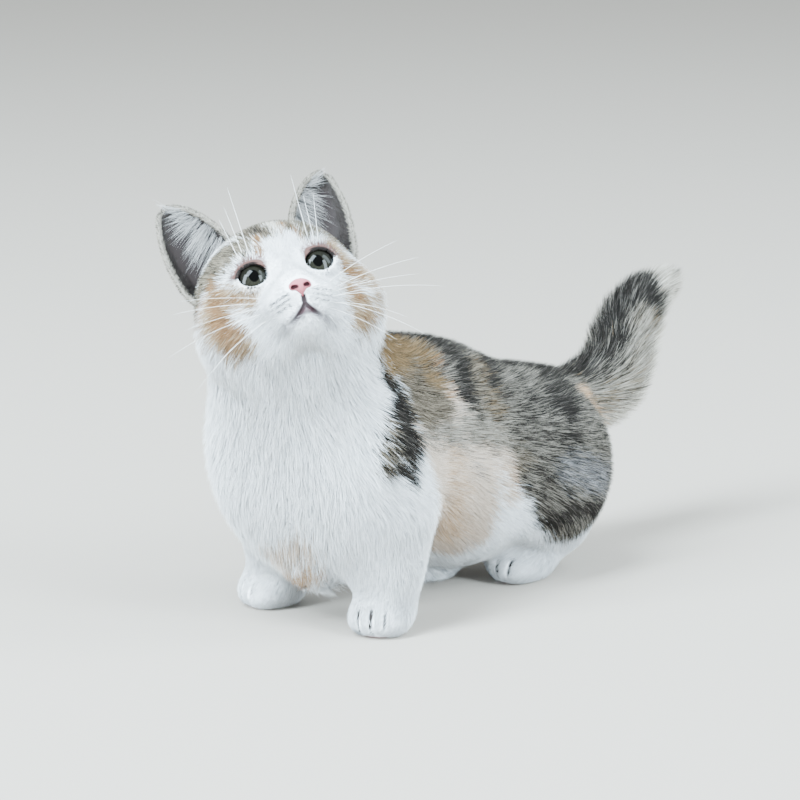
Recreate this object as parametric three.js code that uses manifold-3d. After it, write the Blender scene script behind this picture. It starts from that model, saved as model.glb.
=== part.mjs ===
// A short-legged munchkin kitten as a still, life-size model. It stands with its chest raised and its
// hindquarters low, looks up to its left, and carries its tail in a low hook behind it.
// Millimetres, +Z up. The kitten faces -Y, its left side is +X and the floor is z = 0.
// Each form is a field that is negative inside the coat's outer surface; a node is the mesh of one field.
import * as THREE from "three";
import { mergeVertices } from "three/addons/utils/BufferGeometryUtils.js";
import Module from "manifold-3d";

const wasm = await Module();
wasm.setup();

// Driving sizes
const GAP = 0.35; // between the faces of touching nodes
const COARSE_GAP = 0.75; // the same where one face is drawn coarser than the other
const WELD = 0.002; // vertices closer than about this are one
const FILLET = { trunk: 20, leg: 10, paw: 6, head: 9 }; // widths over which forms flow into one another
const STEP = { trunk: 9.5, foreleg: 6, hindLeft: 7, hindRight: 6.9, tail: 6 }; // of the grids
const FACETS = {
  head: [50, 25],
  headRoom: [34, 17],
  eye: [16, 9],
  eyeWindow: [18, 8],
  nose: [14, 9],
  nostril: [10, 6],
  toe: [8, 6],
}; // round and from pole to pole
const ORIGIN = [-3.2, 81]; // the box centre, where the frame has its origin, in the drawing's own x and y

const CHEST = { centre: [-4, -3, 68], radii: [46, 34, 46], turn: 8 };
const RIBS = { centre: [-3, 38, 70], radii: [44, 46, 45] };
const BELLY = { centre: [-1, 78, 53], radii: [44, 46, 46] };
const LOIN = { centre: [6, 116, 61], radii: [36, 41, 32] };
const BACK = { centre: [2, 60, 80], radii: [24, 34, 27] };
const BIB = { centre: [-1, -5, 37], radii: [15, 14, 23] }; // the chest's long hair between the forelegs
const SHOULDER = { out: 26, y: 3, z: 58, radii: [18, 24, 33] };
const HAUNCH = { hipsX: 7, out: 24, y: 114, z: 46.5, radii: [18, 34.5, 33] };

const NECK = { low: [-7, 2, 82], high: [-2, -19, 124], lowR: 41, highR: 37, cut: 0.42 };

const HEAD = { centre: [0.7, -26, 142.2], turn: 50, pitch: 33.5, tilt: -13 };
const EYE = { out: 13.4, y: -16.2, z: 0.8, radius: 8.6, opening: [12.4, 10.2], turnOut: 3 };
const LID = { thick: 1.2, around: 24, sides: 6 };
const NOSE = { y: -35, z: -13.7, width: 9.8, depth: 6, height: 8 };
const NOSTRIL = { out: 2.6, radii: [1.3, 2, 1] };
const MOUTH = { top: -19, lip: -21.5, corner: [11.5, -25.5], groove: 0.8 };
const EAR = {
  inner: [13, 5, 30],
  outer: [35.5, 11, 12],
  tip: [35.4, 13.8, 53.4],
  depth: 0.36,
  thickness: 2,
  root: -0.3, // where its lowest and highest sections lie on the way from its foot to its tip
  top: 0.97,
  rows: 10,
  sideways: 8,
};

const FRONT_PAW = [12.4, 12.5]; // half width and length from the middle
const HIND_PAW = [11.4, 13];
const TOE = { top: 10, cut: [0.9, 6.8, 6.8], back: 1.4 }; // the lens that parts two toes
const FRONT_PAWS = { left: [32, 0, 22], right: [-31, 0, -22] }; // x, y and turn
const HIND_PAWS = { left: [22.5, 102, -6], right: [-9, 72, -4] };
const HEEL = { out: 1.5, back: 29, z: 17, radius: 9 }; // from the middle of a hind paw

// Points along the tail with its radius there.
const TAIL = [
  [7, 140, 71, 15],
  [7, 158, 70, 15.5],
  [7, 184, 77, 16],
  [6, 198, 100, 14],
  [8, 208, 112, 10.5],
  [10, 221, 117, 6.5],
];

// Fields
const vec = (a) => new THREE.Vector3(...a);
const mirrorX = (a, side) => [a[0] * side, a[1], a[2]];

function ellipsoid(centre, radii, turnDeg = 0) {
  const [cx, cy, cz] = centre;
  const [rx, ry, rz] = radii;
  const c = Math.cos(THREE.MathUtils.degToRad(turnDeg));
  const s = Math.sin(THREE.MathUtils.degToRad(turnDeg));
  return (x, y, z) => {
    const dx = x - cx;
    const dy = y - cy;
    const u = (c * dx + s * dy) / rx;
    const v = (-s * dx + c * dy) / ry;
    const w = (z - cz) / rz;
    const near = Math.hypot(u, v, w);
    const slope = Math.hypot(u / rx, v / ry, w / rz);
    return slope < 1e-9 ? -Math.min(rx, ry, rz) : (near * (near - 1)) / slope;
  };
}

// A bar with round ends whose radius changes evenly from a to b.
function taper(a, b, ra, rb) {
  const [ax, ay, az] = a;
  const ux = b[0] - ax;
  const uy = b[1] - ay;
  const uz = b[2] - az;
  const length2 = ux * ux + uy * uy + uz * uz;
  return (x, y, z) => {
    const px = x - ax;
    const py = y - ay;
    const pz = z - az;
    const t = THREE.MathUtils.clamp((px * ux + py * uy + pz * uz) / length2, 0, 1);
    return Math.hypot(px - t * ux, py - t * uy, pz - t * uz) - ra - (rb - ra) * t;
  };
}

// Several fields as one, with a fillet where two surfaces lie closer than the width.
function blend(width, fields) {
  return (x, y, z) =>
    fields.reduce((sum, field) => {
      const d = field(x, y, z);
      if (sum === Infinity) return d;
      const near = Math.max(width - Math.abs(sum - d), 0);
      return Math.min(sum, d) - (near * near) / (4 * width);
    }, Infinity);
}

// The same field with all below the floor taken off, which leaves flat soles.
function onFloor(field) {
  return (x, y, z) => Math.max(field(x, y, z), -z);
}

// Meshes from fields
// Grid lines through the stops, which alternate places and the step between them.
function lines(...stops) {
  const grid = [stops[0]];
  for (let n = 0; n + 2 < stops.length; n += 2) {
    const [low, step, high] = stops.slice(n, n + 3);
    const count = Math.max(1, Math.round((high - low) / step));
    for (let i = 1; i <= count; i++) grid.push(low + ((high - low) * i) / count);
  }
  return grid;
}

// The surface where the field is zero, one vertex to each grid cell that it passes through.
function netSurface(field, xs, ys, zs) {
  const [nx, ny, nz] = [xs.length, ys.length, zs.length];
  const at = (i, j, k) => (k * ny + j) * nx + i;
  const value = new Float64Array(nx * ny * nz);
  for (let k = 0; k < nz; k++)
    for (let j = 0; j < ny; j++)
      for (let i = 0; i < nx; i++) {
        const edge = i === 0 || j === 0 || k === 0 || i === nx - 1 || j === ny - 1 || k === nz - 1;
        const d = field(xs[i], ys[j], zs[k]);
        value[at(i, j, k)] = edge ? Math.max(d, 0.5) : d;
      }
  joinCorners(value, [1, nx, nx * ny]);
  const corners = [0, 1, 2, 3, 4, 5, 6, 7].map((n) => [n & 1, (n >> 1) & 1, (n >> 2) & 1]);
  const edges = [];
  for (let a = 0; a < 8; a++)
    for (const bit of [1, 2, 4]) if (!(a & bit)) edges.push([corners[a], corners[a | bit]]);
  const position = [];
  const cellVertex = new Map();
  for (let k = 0; k < nz - 1; k++)
    for (let j = 0; j < ny - 1; j++)
      for (let i = 0; i < nx - 1; i++) {
        let count = 0;
        const sum = [0, 0, 0];
        for (const [a, b] of edges) {
          const va = value[at(i + a[0], j + a[1], k + a[2])];
          const vb = value[at(i + b[0], j + b[1], k + b[2])];
          if (va < 0 === vb < 0) continue;
          const t = va / (va - vb);
          sum[0] += xs[i + a[0]] + (xs[i + b[0]] - xs[i + a[0]]) * t;
          sum[1] += ys[j + a[1]] + (ys[j + b[1]] - ys[j + a[1]]) * t;
          sum[2] += zs[k + a[2]] + (zs[k + b[2]] - zs[k + a[2]]) * t;
          count++;
        }
        if (!count) continue;
        cellVertex.set(at(i, j, k), position.length / 3);
        position.push(sum[0] / count, sum[1] / count, sum[2] / count);
      }
  const grids = [xs, ys, zs];
  settle(position, field, grids);
  const corner = (v) => vec(position.slice(3 * v, 3 * v + 3));
  const index = [];
  const quad = (cells, flip) => {
    const round = cells.map((cell) => cellVertex.get(cell));
    const [a, b, c, d] = flip ? round.reverse() : round;
    const across = corner(a).distanceTo(corner(c)) <= corner(b).distanceTo(corner(d));
    index.push(...(across ? [a, b, c, a, c, d] : [b, c, d, b, d, a]));
  };
  for (let k = 0; k < nz - 1; k++)
    for (let j = 0; j < ny - 1; j++)
      for (let i = 0; i < nx - 1; i++) {
        const here = value[at(i, j, k)] < 0;
        if (j && k && here !== value[at(i + 1, j, k)] < 0)
          quad([at(i, j - 1, k - 1), at(i, j, k - 1), at(i, j, k), at(i, j - 1, k)], !here);
        if (i && k && here !== value[at(i, j + 1, k)] < 0)
          quad([at(i - 1, j, k - 1), at(i - 1, j, k), at(i, j, k), at(i, j, k - 1)], !here);
        if (i && j && here !== value[at(i, j, k + 1)] < 0)
          quad([at(i - 1, j - 1, k), at(i, j - 1, k), at(i, j, k), at(i - 1, j, k)], !here);
      }
  return geometryOf(position, index);
}

// Where only two opposite corners of a grid face are inside, takes in the nearer of the others too, so that
// no edge of the surface has four faces.
function joinCorners(value, strides) {
  const joined = -0.001;
  for (let found = true; found; ) {
    found = false;
    for (const [u, v] of [[0, 1], [1, 2], [2, 0]].map((pair) => pair.map((n) => strides[n])))
      for (let p = 0; p + u + v < value.length; p++) {
        const [a, b, c, d] = [p, p + u, p + u + v, p + v];
        if (value[a] < 0 !== value[c] < 0 || value[b] < 0 !== value[d] < 0) continue;
        if (value[a] < 0 === value[b] < 0) continue;
        const outside = value[a] < 0 ? [b, d] : [a, c];
        value[value[outside[0]] < value[outside[1]] ? outside[0] : outside[1]] = joined;
        found = true;
      }
  }
}

// Moves each vertex inside the grid's border onto the field's surface.
function settle(position, field, [xs, ys, zs]) {
  const inside = (v, g) => v > g[1] + 1e-6 && v < g[g.length - 2] - 1e-6;
  const step = 0.05;
  for (let n = 0; n < position.length; n += 3) {
    for (let pass = 0; pass < 3; pass++) {
      const [x, y, z] = position.slice(n, n + 3);
      if (!inside(x, xs) || !inside(y, ys) || !inside(z, zs)) break;
      const d = field(x, y, z);
      const gx = (field(x + step, y, z) - field(x - step, y, z)) / (2 * step);
      const gy = (field(x, y + step, z) - field(x, y - step, z)) / (2 * step);
      const gz = (field(x, y, z + step) - field(x, y, z - step)) / (2 * step);
      const g2 = Math.max(gx * gx + gy * gy + gz * gz, 0.25);
      const move = THREE.MathUtils.clamp(d / g2, -1, 1);
      position[n] -= gx * move;
      position[n + 1] -= gy * move;
      position[n + 2] -= gz * move;
    }
  }
}

function geometryOf(position, index) {
  const geometry = new THREE.BufferGeometry();
  geometry.setAttribute("position", new THREE.Float32BufferAttribute(position, 3));
  geometry.setIndex(index);
  return geometry;
}

// Solids
// A geometry of positions only, with its shared vertices merged.
function merged(geometry) {
  const bare = geometry.clone();
  for (const name of Object.keys(bare.attributes)) if (name !== "position") bare.deleteAttribute(name);
  return mergeVertices(bare, 1e-4);
}

function solid(geometry) {
  const shape = merged(geometry);
  return new wasm.Manifold(
    new wasm.Mesh({
      numProp: 3,
      vertProperties: shape.attributes.position.array,
      triVerts: new Uint32Array(shape.index.array),
    }),
  );
}

// The room that a form takes among its neighbours: its surface moved out by the gap between touching nodes.
function room(geometry, gap = GAP) {
  const swollen = merged(geometry);
  swollen.computeVertexNormals();
  const place = swollen.getAttribute("position");
  const normal = swollen.getAttribute("normal");
  for (let n = 0; n < place.count; n++)
    place.setXYZ(
      n,
      place.getX(n) + normal.getX(n) * gap,
      place.getY(n) + normal.getY(n) * gap,
      place.getZ(n) + normal.getZ(n) * gap,
    );
  return solid(swollen);
}

// A solid of the head's own frame, set in the kitten's.
function placed(made) {
  return made.transform(headFrame.elements);
}

// The largest closed body of a solid.
function largest(made) {
  return made.decompose().sort((a, b) => b.volume() - a.volume())[0];
}

// A solid's mesh, its vertices snapped to WELD. A face that collapses is dropped, and so are two that fold
// onto one another.
function geometryFrom(made) {
  const mesh = made.getMesh();
  const position = [];
  const welded = new Map();
  const place = Array.from({ length: mesh.numVert }, (_, i) => {
    const start = i * mesh.numProp;
    const snapped = Array.from(mesh.vertProperties.subarray(start, start + 3), (v) => Math.round(v / WELD));
    const key = snapped.join();
    if (!welded.has(key)) {
      welded.set(key, position.length / 3);
      position.push(...snapped.map((v) => v * WELD));
    }
    return welded.get(key);
  });
  const faces = new Map();
  for (let t = 0; t < mesh.triVerts.length; t += 3) {
    const face = Array.from(mesh.triVerts.subarray(t, t + 3), (v) => place[v]);
    const key = [...face].sort().join();
    if (new Set(face).size < 3) continue;
    if (faces.has(key)) faces.delete(key);
    else faces.set(key, face);
  }
  return geometryOf(position, [...faces.values()].flat());
}

// Torso, neck and tail
const trunk = blend(FILLET.trunk, [
  ellipsoid(CHEST.centre, CHEST.radii, CHEST.turn),
  ellipsoid(RIBS.centre, RIBS.radii),
  ellipsoid(BELLY.centre, BELLY.radii),
  ellipsoid(LOIN.centre, LOIN.radii),
  ellipsoid(BACK.centre, BACK.radii),
  ellipsoid(BIB.centre, BIB.radii),
  ...[1, -1].map((s) => ellipsoid([SHOULDER.out * s, SHOULDER.y, SHOULDER.z], SHOULDER.radii)),
  taper(NECK.low, NECK.high, NECK.lowR, NECK.highR),
]);

// All of space on one side of the cut through the neck, half a gap clear of it.
function besideNeckCut(side) {
  const size = 400;
  const along = vec(NECK.high).sub(vec(NECK.low));
  const place = vec(NECK.low).addScaledVector(along, NECK.cut);
  along.normalize();
  const turn = new THREE.Quaternion().setFromUnitVectors(vec([0, 0, 1]), along);
  const box = new THREE.BoxGeometry(size, size, size).applyQuaternion(turn);
  const centre = place.addScaledVector(along, (side * (size - GAP)) / 2);
  return solid(box.translate(centre.x, centre.y, centre.z));
}

const tailSpine = new THREE.CatmullRomCurve3(TAIL.map((p) => vec(p.slice(0, 3))));
function tailRadius(t) {
  const at = t * (TAIL.length - 1);
  const i = Math.min(Math.floor(at), TAIL.length - 2);
  return THREE.MathUtils.lerp(TAIL[i][3], TAIL[i + 1][3], at - i);
}
function tailStretch(from, to) {
  const steps = 10;
  const pieces = Array.from({ length: steps }, (_, i) => {
    const [ta, tb] = [i, i + 1].map((n) => from + ((to - from) * n) / steps);
    const [a, b] = [ta, tb].map((t) => tailSpine.getPoint(t).toArray());
    return taper(a, b, tailRadius(ta), tailRadius(tb));
  });
  return (x, y, z) => Math.min(...pieces.map((f) => f(x, y, z)));
}

// Legs
// A paw, pointing along -y before its turn.
function pawPoint([x, y, turn], u, v, z) {
  const c = Math.cos(THREE.MathUtils.degToRad(turn));
  const s = Math.sin(THREE.MathUtils.degToRad(turn));
  return [x + c * u - s * v, y + s * u + c * v, z];
}
function paw(place, [halfWidth, length]) {
  const [, , turn] = place;
  return blend(FILLET.paw, [
    ellipsoid(pawPoint(place, 0, 1, 8), [halfWidth * 0.95, length, 9], turn),
    ellipsoid(pawPoint(place, 0, -length * 0.5, 6), [halfWidth, length * 0.75, 7], turn),
  ]);
}
// Three lenses that part a paw's toes.
function toeGrooves(place, [halfWidth, length]) {
  return [-1, 0, 1].map((n) => {
    const lens = new THREE.SphereGeometry(1, ...FACETS.toe).scale(...TOE.cut);
    lens.rotateZ(THREE.MathUtils.degToRad(place[2]));
    const at = pawPoint(place, n * halfWidth * 0.5, -length + Math.abs(n) * TOE.back, TOE.top);
    return lens.translate(...at);
  });
}
function foreleg(place) {
  const [x, y] = place;
  const parts = [
    taper([x, y + 7, 52], [x, y + 4, 26], 18, 13),
    taper([x, y + 4, 26], [x, y + 2, 11], 13, 10.5),
    paw(place, FRONT_PAW),
  ];
  return onFloor(blend(FILLET.leg, parts));
}
function hindleg(side, place) {
  const hip = [HAUNCH.hipsX + HAUNCH.out * side, HAUNCH.y, HAUNCH.z];
  const heel = [place[0] + HEEL.out * side, place[1] + HEEL.back, HEEL.z];
  const parts = [
    ellipsoid(hip, HAUNCH.radii),
    taper([place[0], place[1] + 6, 9], heel, 9, HEEL.radius),
    paw(place, HIND_PAW),
  ];
  return onFloor(blend(FILLET.leg, parts));
}

// Head, in its own frame: its left is +x, its nose -y and its crown +z
const headFrame = new THREE.Matrix4().compose(
  vec(HEAD.centre),
  new THREE.Quaternion().setFromEuler(
    new THREE.Euler(
      ...[-HEAD.pitch, HEAD.tilt, HEAD.turn].map((a) => THREE.MathUtils.degToRad(a)),
      "ZXY",
    ),
  ),
  vec([1, 1, 1]),
);
const headField = blend(FILLET.head, [
  ellipsoid([0, 9, 5], [33, 33, 28]),
  ...[1, -1].map((s) => ellipsoid([20 * s, -1, -12], [20, 21, 18])),
  ellipsoid([0, -10, 10], [21, 13, 13]),
  taper([0, -18, 3], [0, -30, -8], 8, 5),
  ...[1, -1].map((s) => ellipsoid([6.5 * s, -26, -15], [9.5, 9.5, 7])),
  ellipsoid([0, -23, -24.5], [8, 8, 6.5]),
  ellipsoid([0, -4, -20], [20, 20, 13]),
]);

// The head is a sphere drawn out along its own rays to the head's field, its rows crowded towards the nose.
function headGeometry(across, rows, crowding) {
  const geometry = merged(new THREE.SphereGeometry(1, across, rows));
  const place = geometry.getAttribute("position");
  for (let n = 0; n < place.count; n++) {
    const ray = vec([0, 0, 0]).fromBufferAttribute(place, n);
    const angle = Math.acos(THREE.MathUtils.clamp(-ray.y, -1, 1));
    const wide = Math.PI * (angle / Math.PI) ** crowding;
    const round = Math.max(Math.hypot(ray.x, ray.z), 1e-9);
    ray.set((ray.x / round) * Math.sin(wide), -Math.cos(wide), (ray.z / round) * Math.sin(wide));
    const [x, y, z] = outward(ray.toArray());
    place.setXYZ(n, x, y, z);
  }
  return geometry;
}

// Where a ray from the head's centre leaves its field.
function outward(ray) {
  let [low, high] = [5, 70];
  for (let i = 0; i < 24; i++) {
    const middle = (low + high) / 2;
    if (headField(...ray.map((r) => r * middle)) < 0) low = middle;
    else high = middle;
  }
  return ray.map((r) => r * low);
}

// The point of the face at the given x and z.
function onFace(x, z) {
  let [low, high] = [-60, 0];
  for (let i = 0; i < 24; i++) {
    const middle = (low + high) / 2;
    if (headField(x, middle, z) < 0) high = middle;
    else low = middle;
  }
  return vec([x, low, z]);
}

function eyeball(side, radius) {
  return new THREE.SphereGeometry(radius, ...FACETS.eye).translate(EYE.out * side, EYE.y, EYE.z);
}

// The opening between the lids, as a hollow that clears the face from before the eyeball.
function eyeWindow(side) {
  const [halfWide, halfHigh] = EYE.opening.map((size) => size / 2 + LID.thick * 0.6);
  return new THREE.SphereGeometry(1, ...FACETS.eyeWindow)
    .scale(halfWide, EYE.radius, halfHigh)
    .translate(0, -EYE.radius * 0.75, 0)
    .rotateZ(THREE.MathUtils.degToRad(EYE.turnOut * side))
    .translate(EYE.out * side, EYE.y, EYE.z);
}

// The rim of both lids: a ring on the eyeball round the eye's opening.
function lids(side) {
  const geometry = merged(new THREE.TorusGeometry(1, 0.5, LID.sides, LID.around));
  const place = geometry.getAttribute("position");
  const [halfWide, halfHigh] = EYE.opening.map((size) => size / 2 + LID.thick * 0.6);
  for (let n = 0; n < place.count; n++) {
    const p = vec([0, 0, 0]).fromBufferAttribute(place, n);
    const out = Math.hypot(p.x, p.y);
    const [u, v] = [p.x / out, p.y / out];
    const across = (out - 1) * 2 * LID.thick;
    const reach = [u * (halfWide + across), v * (halfHigh + across)];
    const base = EYE.radius + GAP + LID.thick * 0.4;
    const deep = Math.sqrt(Math.max(base ** 2 - (halfWide * u) ** 2 - (halfHigh * v) ** 2, 0));
    place.setXYZ(n, reach[0], -deep - p.z * 2 * LID.thick * 0.8, reach[1]);
  }
  geometry.rotateZ(THREE.MathUtils.degToRad(EYE.turnOut * side));
  return geometry.translate(EYE.out * side, EYE.y, EYE.z);
}

function noseGeometry() {
  const geometry = new THREE.SphereGeometry(1, ...FACETS.nose);
  const place = geometry.getAttribute("position");
  for (let n = 0; n < place.count; n++) {
    const narrow = THREE.MathUtils.lerp(0.42, 1, THREE.MathUtils.smoothstep(place.getY(n), -1, 0.5));
    place.setX(n, place.getX(n) * narrow);
  }
  return geometry
    .rotateX(Math.PI / 2)
    .scale(NOSE.width / 2, NOSE.depth / 2, NOSE.height / 2)
    .translate(0, NOSE.y, NOSE.z);
}

// The line of the mouth: down from the nose, then out under each whisker pad.
function mouthLines() {
  const section = new THREE.Shape(new THREE.Path().absarc(0, 0, MOUTH.groove, 0, 2 * Math.PI).getPoints(6));
  const [cornerX, cornerZ] = MOUTH.corner;
  const philtrum = [[0, NOSE.z - 2.5], [0, MOUTH.top], [0, MOUTH.lip]];
  const line = (s) => [
    [0, MOUTH.top - 0.6],
    [cornerX * 0.4 * s, MOUTH.lip],
    [cornerX * 0.75 * s, (MOUTH.lip + cornerZ) / 2],
    [cornerX * s, cornerZ],
  ];
  return [philtrum, line(1), line(-1)].map((corners) => {
    const drawn = new THREE.CatmullRomCurve3(corners.map(([x, z]) => vec([x, 0, z])));
    const path = new THREE.CatmullRomCurve3(drawn.getPoints(8).map((p) => onFace(p.x, p.z)));
    return new THREE.ExtrudeGeometry(section, { steps: 10, extrudePath: path });
  });
}

// An ear: crescent sections from below its root to its tip, closed at both ends.
function earGeometry(side) {
  const { rows, sideways } = EAR;
  const inner = vec(mirrorX(EAR.inner, side));
  const outer = vec(mirrorX(EAR.outer, side));
  const tip = vec(mirrorX(EAR.tip, side));
  const middle = inner.clone().lerp(outer, 0.5);
  const rise = tip.clone().sub(middle);
  const back = outer.clone().sub(inner).cross(rise).normalize().multiplyScalar(-side);
  const position = [];
  for (let row = 0; row <= rows; row++) {
    const h = THREE.MathUtils.lerp(EAR.root, EAR.top, row / rows);
    const full = 1 - Math.max(h, 0) ** 2;
    const along = middle.clone().addScaledVector(rise, h);
    const chord = outer.clone().sub(inner).multiplyScalar(full * (h < 0 ? 1 + h * 0.5 : 1));
    const wide = chord.length();
    const start = along.clone().addScaledVector(chord, -0.5);
    const ring = (inset) => {
      const points = [];
      const cut = (inset * EAR.thickness * Math.min(1, wide / 12)) / wide;
      const deep = wide * (EAR.depth - cut);
      for (let n = 0; n <= sideways; n++) {
        const a = (Math.PI * n) / sideways;
        const across = cut + (1 - 2 * cut) * (0.5 - 0.5 * Math.cos(a));
        points.push(start.clone().addScaledVector(chord, across).addScaledVector(back, deep * Math.sin(a)));
      }
      return points;
    };
    for (const p of [...ring(0), ...ring(1).reverse()]) position.push(p.x, p.y, p.z);
  }
  return lofted(position, 2 * (sideways + 1), side);
}

// Closed rings of points, stitched to one another and capped between their two halves.
function lofted(position, count, side) {
  const index = [];
  const face = (a, b, c) => index.push(...(side > 0 ? [a, c, b] : [a, b, c]));
  const rings = position.length / 3 / count;
  for (let row = 0; row < rings - 1; row++)
    for (let n = 0; n < count; n++) {
      const [a, b] = [row * count + n, row * count + ((n + 1) % count)];
      face(a, b, b + count);
      face(a, b + count, a + count);
    }
  const cap = (first, flip) => {
    for (let n = 0; n < count / 2 - 1; n++) {
      const [a, b, c, d] = [n, n + 1, count - 2 - n, count - 1 - n].map((v) => first + v);
      if (flip) [[a, b, c], [a, c, d]].forEach((t) => face(...t));
      else [[a, c, b], [a, d, c]].forEach((t) => face(...t));
    }
  };
  cap(0, false);
  cap((rings - 1) * count, true);
  return geometryOf(position, index);
}

// Nodes
const cat = new THREE.Group();
const coat = (colour) => new THREE.MeshStandardMaterial({ color: colour, roughness: 0.95 });
function node(name, made, material) {
  const mesh = new THREE.Mesh(geometryFrom(made), material);
  mesh.name = name;
  cat.add(mesh);
  return mesh;
}

const box = (step, ...ranges) => ranges.map(([low, high]) => lines(low, step, high));
const legs = {
  foreleg_left: {
    field: foreleg(FRONT_PAWS.left),
    grid: box(STEP.foreleg, [8, 58], [-22, 36], [-7, 80]),
    paw: [FRONT_PAWS.left, FRONT_PAW],
  },
  foreleg_right: {
    field: foreleg(FRONT_PAWS.right),
    grid: box(STEP.foreleg, [-58, -8], [-22, 36], [-7, 80]),
    paw: [FRONT_PAWS.right, FRONT_PAW],
  },
  hindleg_left: {
    field: hindleg(1, HIND_PAWS.left),
    grid: box(STEP.hindLeft, [0, 60], [78, 160], [-8, 90]),
    paw: [HIND_PAWS.left, HIND_PAW],
  },
  hindleg_right: {
    field: hindleg(-1, HIND_PAWS.right),
    grid: box(STEP.hindRight, [-44, 18], [51, 160], [-8, 90]),
    paw: [HIND_PAWS.right, HIND_PAW],
  },
};
const trunkShape = netSurface(trunk, ...box(STEP.trunk, [-60, 56], [-66, 174], [0, 170]));
const trunkRoom = room(trunkShape);
const tailLines = box(STEP.tail, [-20, 34], [122, 238], [40, 135]);
const tailBase = netSurface(tailStretch(0, 0.5), ...tailLines);
const tailEnd = netSurface(tailStretch(0.5, 1), ...tailLines);

const white = coat(0xf2f0ee);
const patched = coat(0x9c8f80);
const pink = new THREE.MeshStandardMaterial({ color: 0xd9a29b, roughness: 0.6 });
const eyeGlaze = new THREE.MeshStandardMaterial({ color: 0x6f7360, roughness: 0.08 });

const sides = { left: 1, right: -1 };
const headShape = headGeometry(...FACETS.head, 1.4);
let head = solid(headShape);
for (const side of Object.values(sides)) {
  head = head.add(solid(eyeball(side, EYE.radius + GAP + LID.thick)));
  head = head.subtract(solid(eyeWindow(side)));
  head = head.add(solid(lids(side)));
}
for (const side of Object.values(sides)) head = head.subtract(solid(eyeball(side, EYE.radius + GAP)));
for (const line of mouthLines()) head = head.subtract(solid(line));
head = head.subtract(room(noseGeometry()));
node("head", largest(placed(head)), white);

let nose = solid(noseGeometry());
for (const side of Object.values(sides)) {
  const nostril = new THREE.SphereGeometry(1, ...FACETS.nostril).scale(...NOSTRIL.radii);
  nose = nose.subtract(solid(nostril.translate(NOSTRIL.out * side, NOSE.y - NOSE.depth / 2, NOSE.z)));
}
node("nose", largest(placed(nose)), pink);
const headRoom = placed(room(headGeometry(...FACETS.headRoom, 1), COARSE_GAP));
for (const [name, side] of Object.entries(sides)) {
  node(`eye_${name}`, placed(solid(eyeball(side, EYE.radius))), eyeGlaze);
  node(`ear_${name}`, largest(placed(solid(earGeometry(side))).subtract(headRoom)), patched);
}

const trunkWhole = solid(trunkShape);
let torso = trunkWhole.subtract(besideNeckCut(1)).subtract(headRoom);
for (const [name, { field, grid, paw: place }] of Object.entries(legs)) {
  const shape = netSurface(field, ...grid);
  torso = torso.subtract(room(shape));
  let leg = solid(shape);
  for (const groove of toeGrooves(...place)) leg = leg.subtract(solid(groove));
  node(name, largest(leg), white);
}
node("torso", largest(torso), patched);
node("neck", largest(trunkWhole.subtract(besideNeckCut(-1)).subtract(headRoom)), white);
node("tail_base", largest(solid(tailBase).subtract(trunkRoom)), patched);
node("tail_end", largest(solid(tailEnd).subtract(trunkRoom).subtract(room(tailBase))), patched);

cat.position.set(-ORIGIN[0], -ORIGIN[1], 0);
export default cat;
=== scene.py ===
from math import cos, pi, radians, sin

import bmesh
import bpy
import numpy as np
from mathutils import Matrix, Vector
from mathutils.bvhtree import BVHTree
from mathutils.kdtree import KDTree


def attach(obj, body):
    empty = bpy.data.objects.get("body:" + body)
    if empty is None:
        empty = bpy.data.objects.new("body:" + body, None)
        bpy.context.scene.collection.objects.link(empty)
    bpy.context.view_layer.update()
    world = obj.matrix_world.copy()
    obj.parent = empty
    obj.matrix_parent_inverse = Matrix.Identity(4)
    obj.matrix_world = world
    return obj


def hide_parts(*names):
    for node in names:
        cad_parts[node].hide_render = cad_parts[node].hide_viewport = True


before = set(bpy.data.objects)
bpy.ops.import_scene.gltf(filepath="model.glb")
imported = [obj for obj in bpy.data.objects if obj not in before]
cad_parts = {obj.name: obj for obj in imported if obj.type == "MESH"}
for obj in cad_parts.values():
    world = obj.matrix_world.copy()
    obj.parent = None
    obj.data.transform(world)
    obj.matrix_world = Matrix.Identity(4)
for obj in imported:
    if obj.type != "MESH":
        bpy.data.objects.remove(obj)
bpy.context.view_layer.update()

# A short-legged kitten: one skin with its markings, a coat of closed tufts, eyes, nose leather and
# whiskers. Shapes are drawn in millimetres in the drawing's own frame, with the kitten facing -Y, its left
# side +X and the floor at z = 0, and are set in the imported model's frame when a mesh is made.
ORIGIN = np.array([-3.2, 81.0, 0.0])
MM = 0.001

# Driving sizes, the outer surface of the coat
CHEST = ((-4, -3, 68), (46, 34, 46), 8)
RIBS = ((-3, 38, 70), (44, 46, 45))
BELLY = ((-1, 78, 53), (44, 46, 46))
LOIN = ((6, 116, 61), (36, 41, 32))
BACK = ((2, 60, 80), (24, 34, 27))
BIB = ((-1, -5, 37), (15, 14, 23))
SHOULDER = ((26, 3, 58), (18, 24, 33))
HIPS_X, HAUNCH_OUT, HAUNCH_Y, HAUNCH_Z, HAUNCH_RADII = 7, 24, 114, 46.5, (18, 34.5, 33)
HEEL_OUT, HEEL_BACK, HEEL_Z, HEEL_RADIUS = 1.5, 29, 17, 9
NECK = ((-7, 2, 82), (-2, -19, 124), 41, 37)
HEAD_CENTRE = np.array([0.7, -26, 142.2])
HEAD_TURN, HEAD_PITCH, HEAD_TILT = 50, 33.5, -13
FRONT_PAW = (12.4, 12.5)
HIND_PAW = (11.4, 13)
FRONT_PAWS = {1: (32, 0, 22), -1: (-31, 0, -22)}
HIND_PAWS = {1: (22.5, 102, -6), -1: (-9, 72, -4)}
TAIL = np.array(
    [
        (7, 140, 71, 15),
        (7, 158, 70, 15.5),
        (7, 184, 77, 16),
        (6, 198, 100, 14),
        (8, 208, 112, 10.5),
        (10, 221, 117, 6.5),
    ],
    float,
)
EYE = np.array([13.4, -16.2, 0.8])
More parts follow.
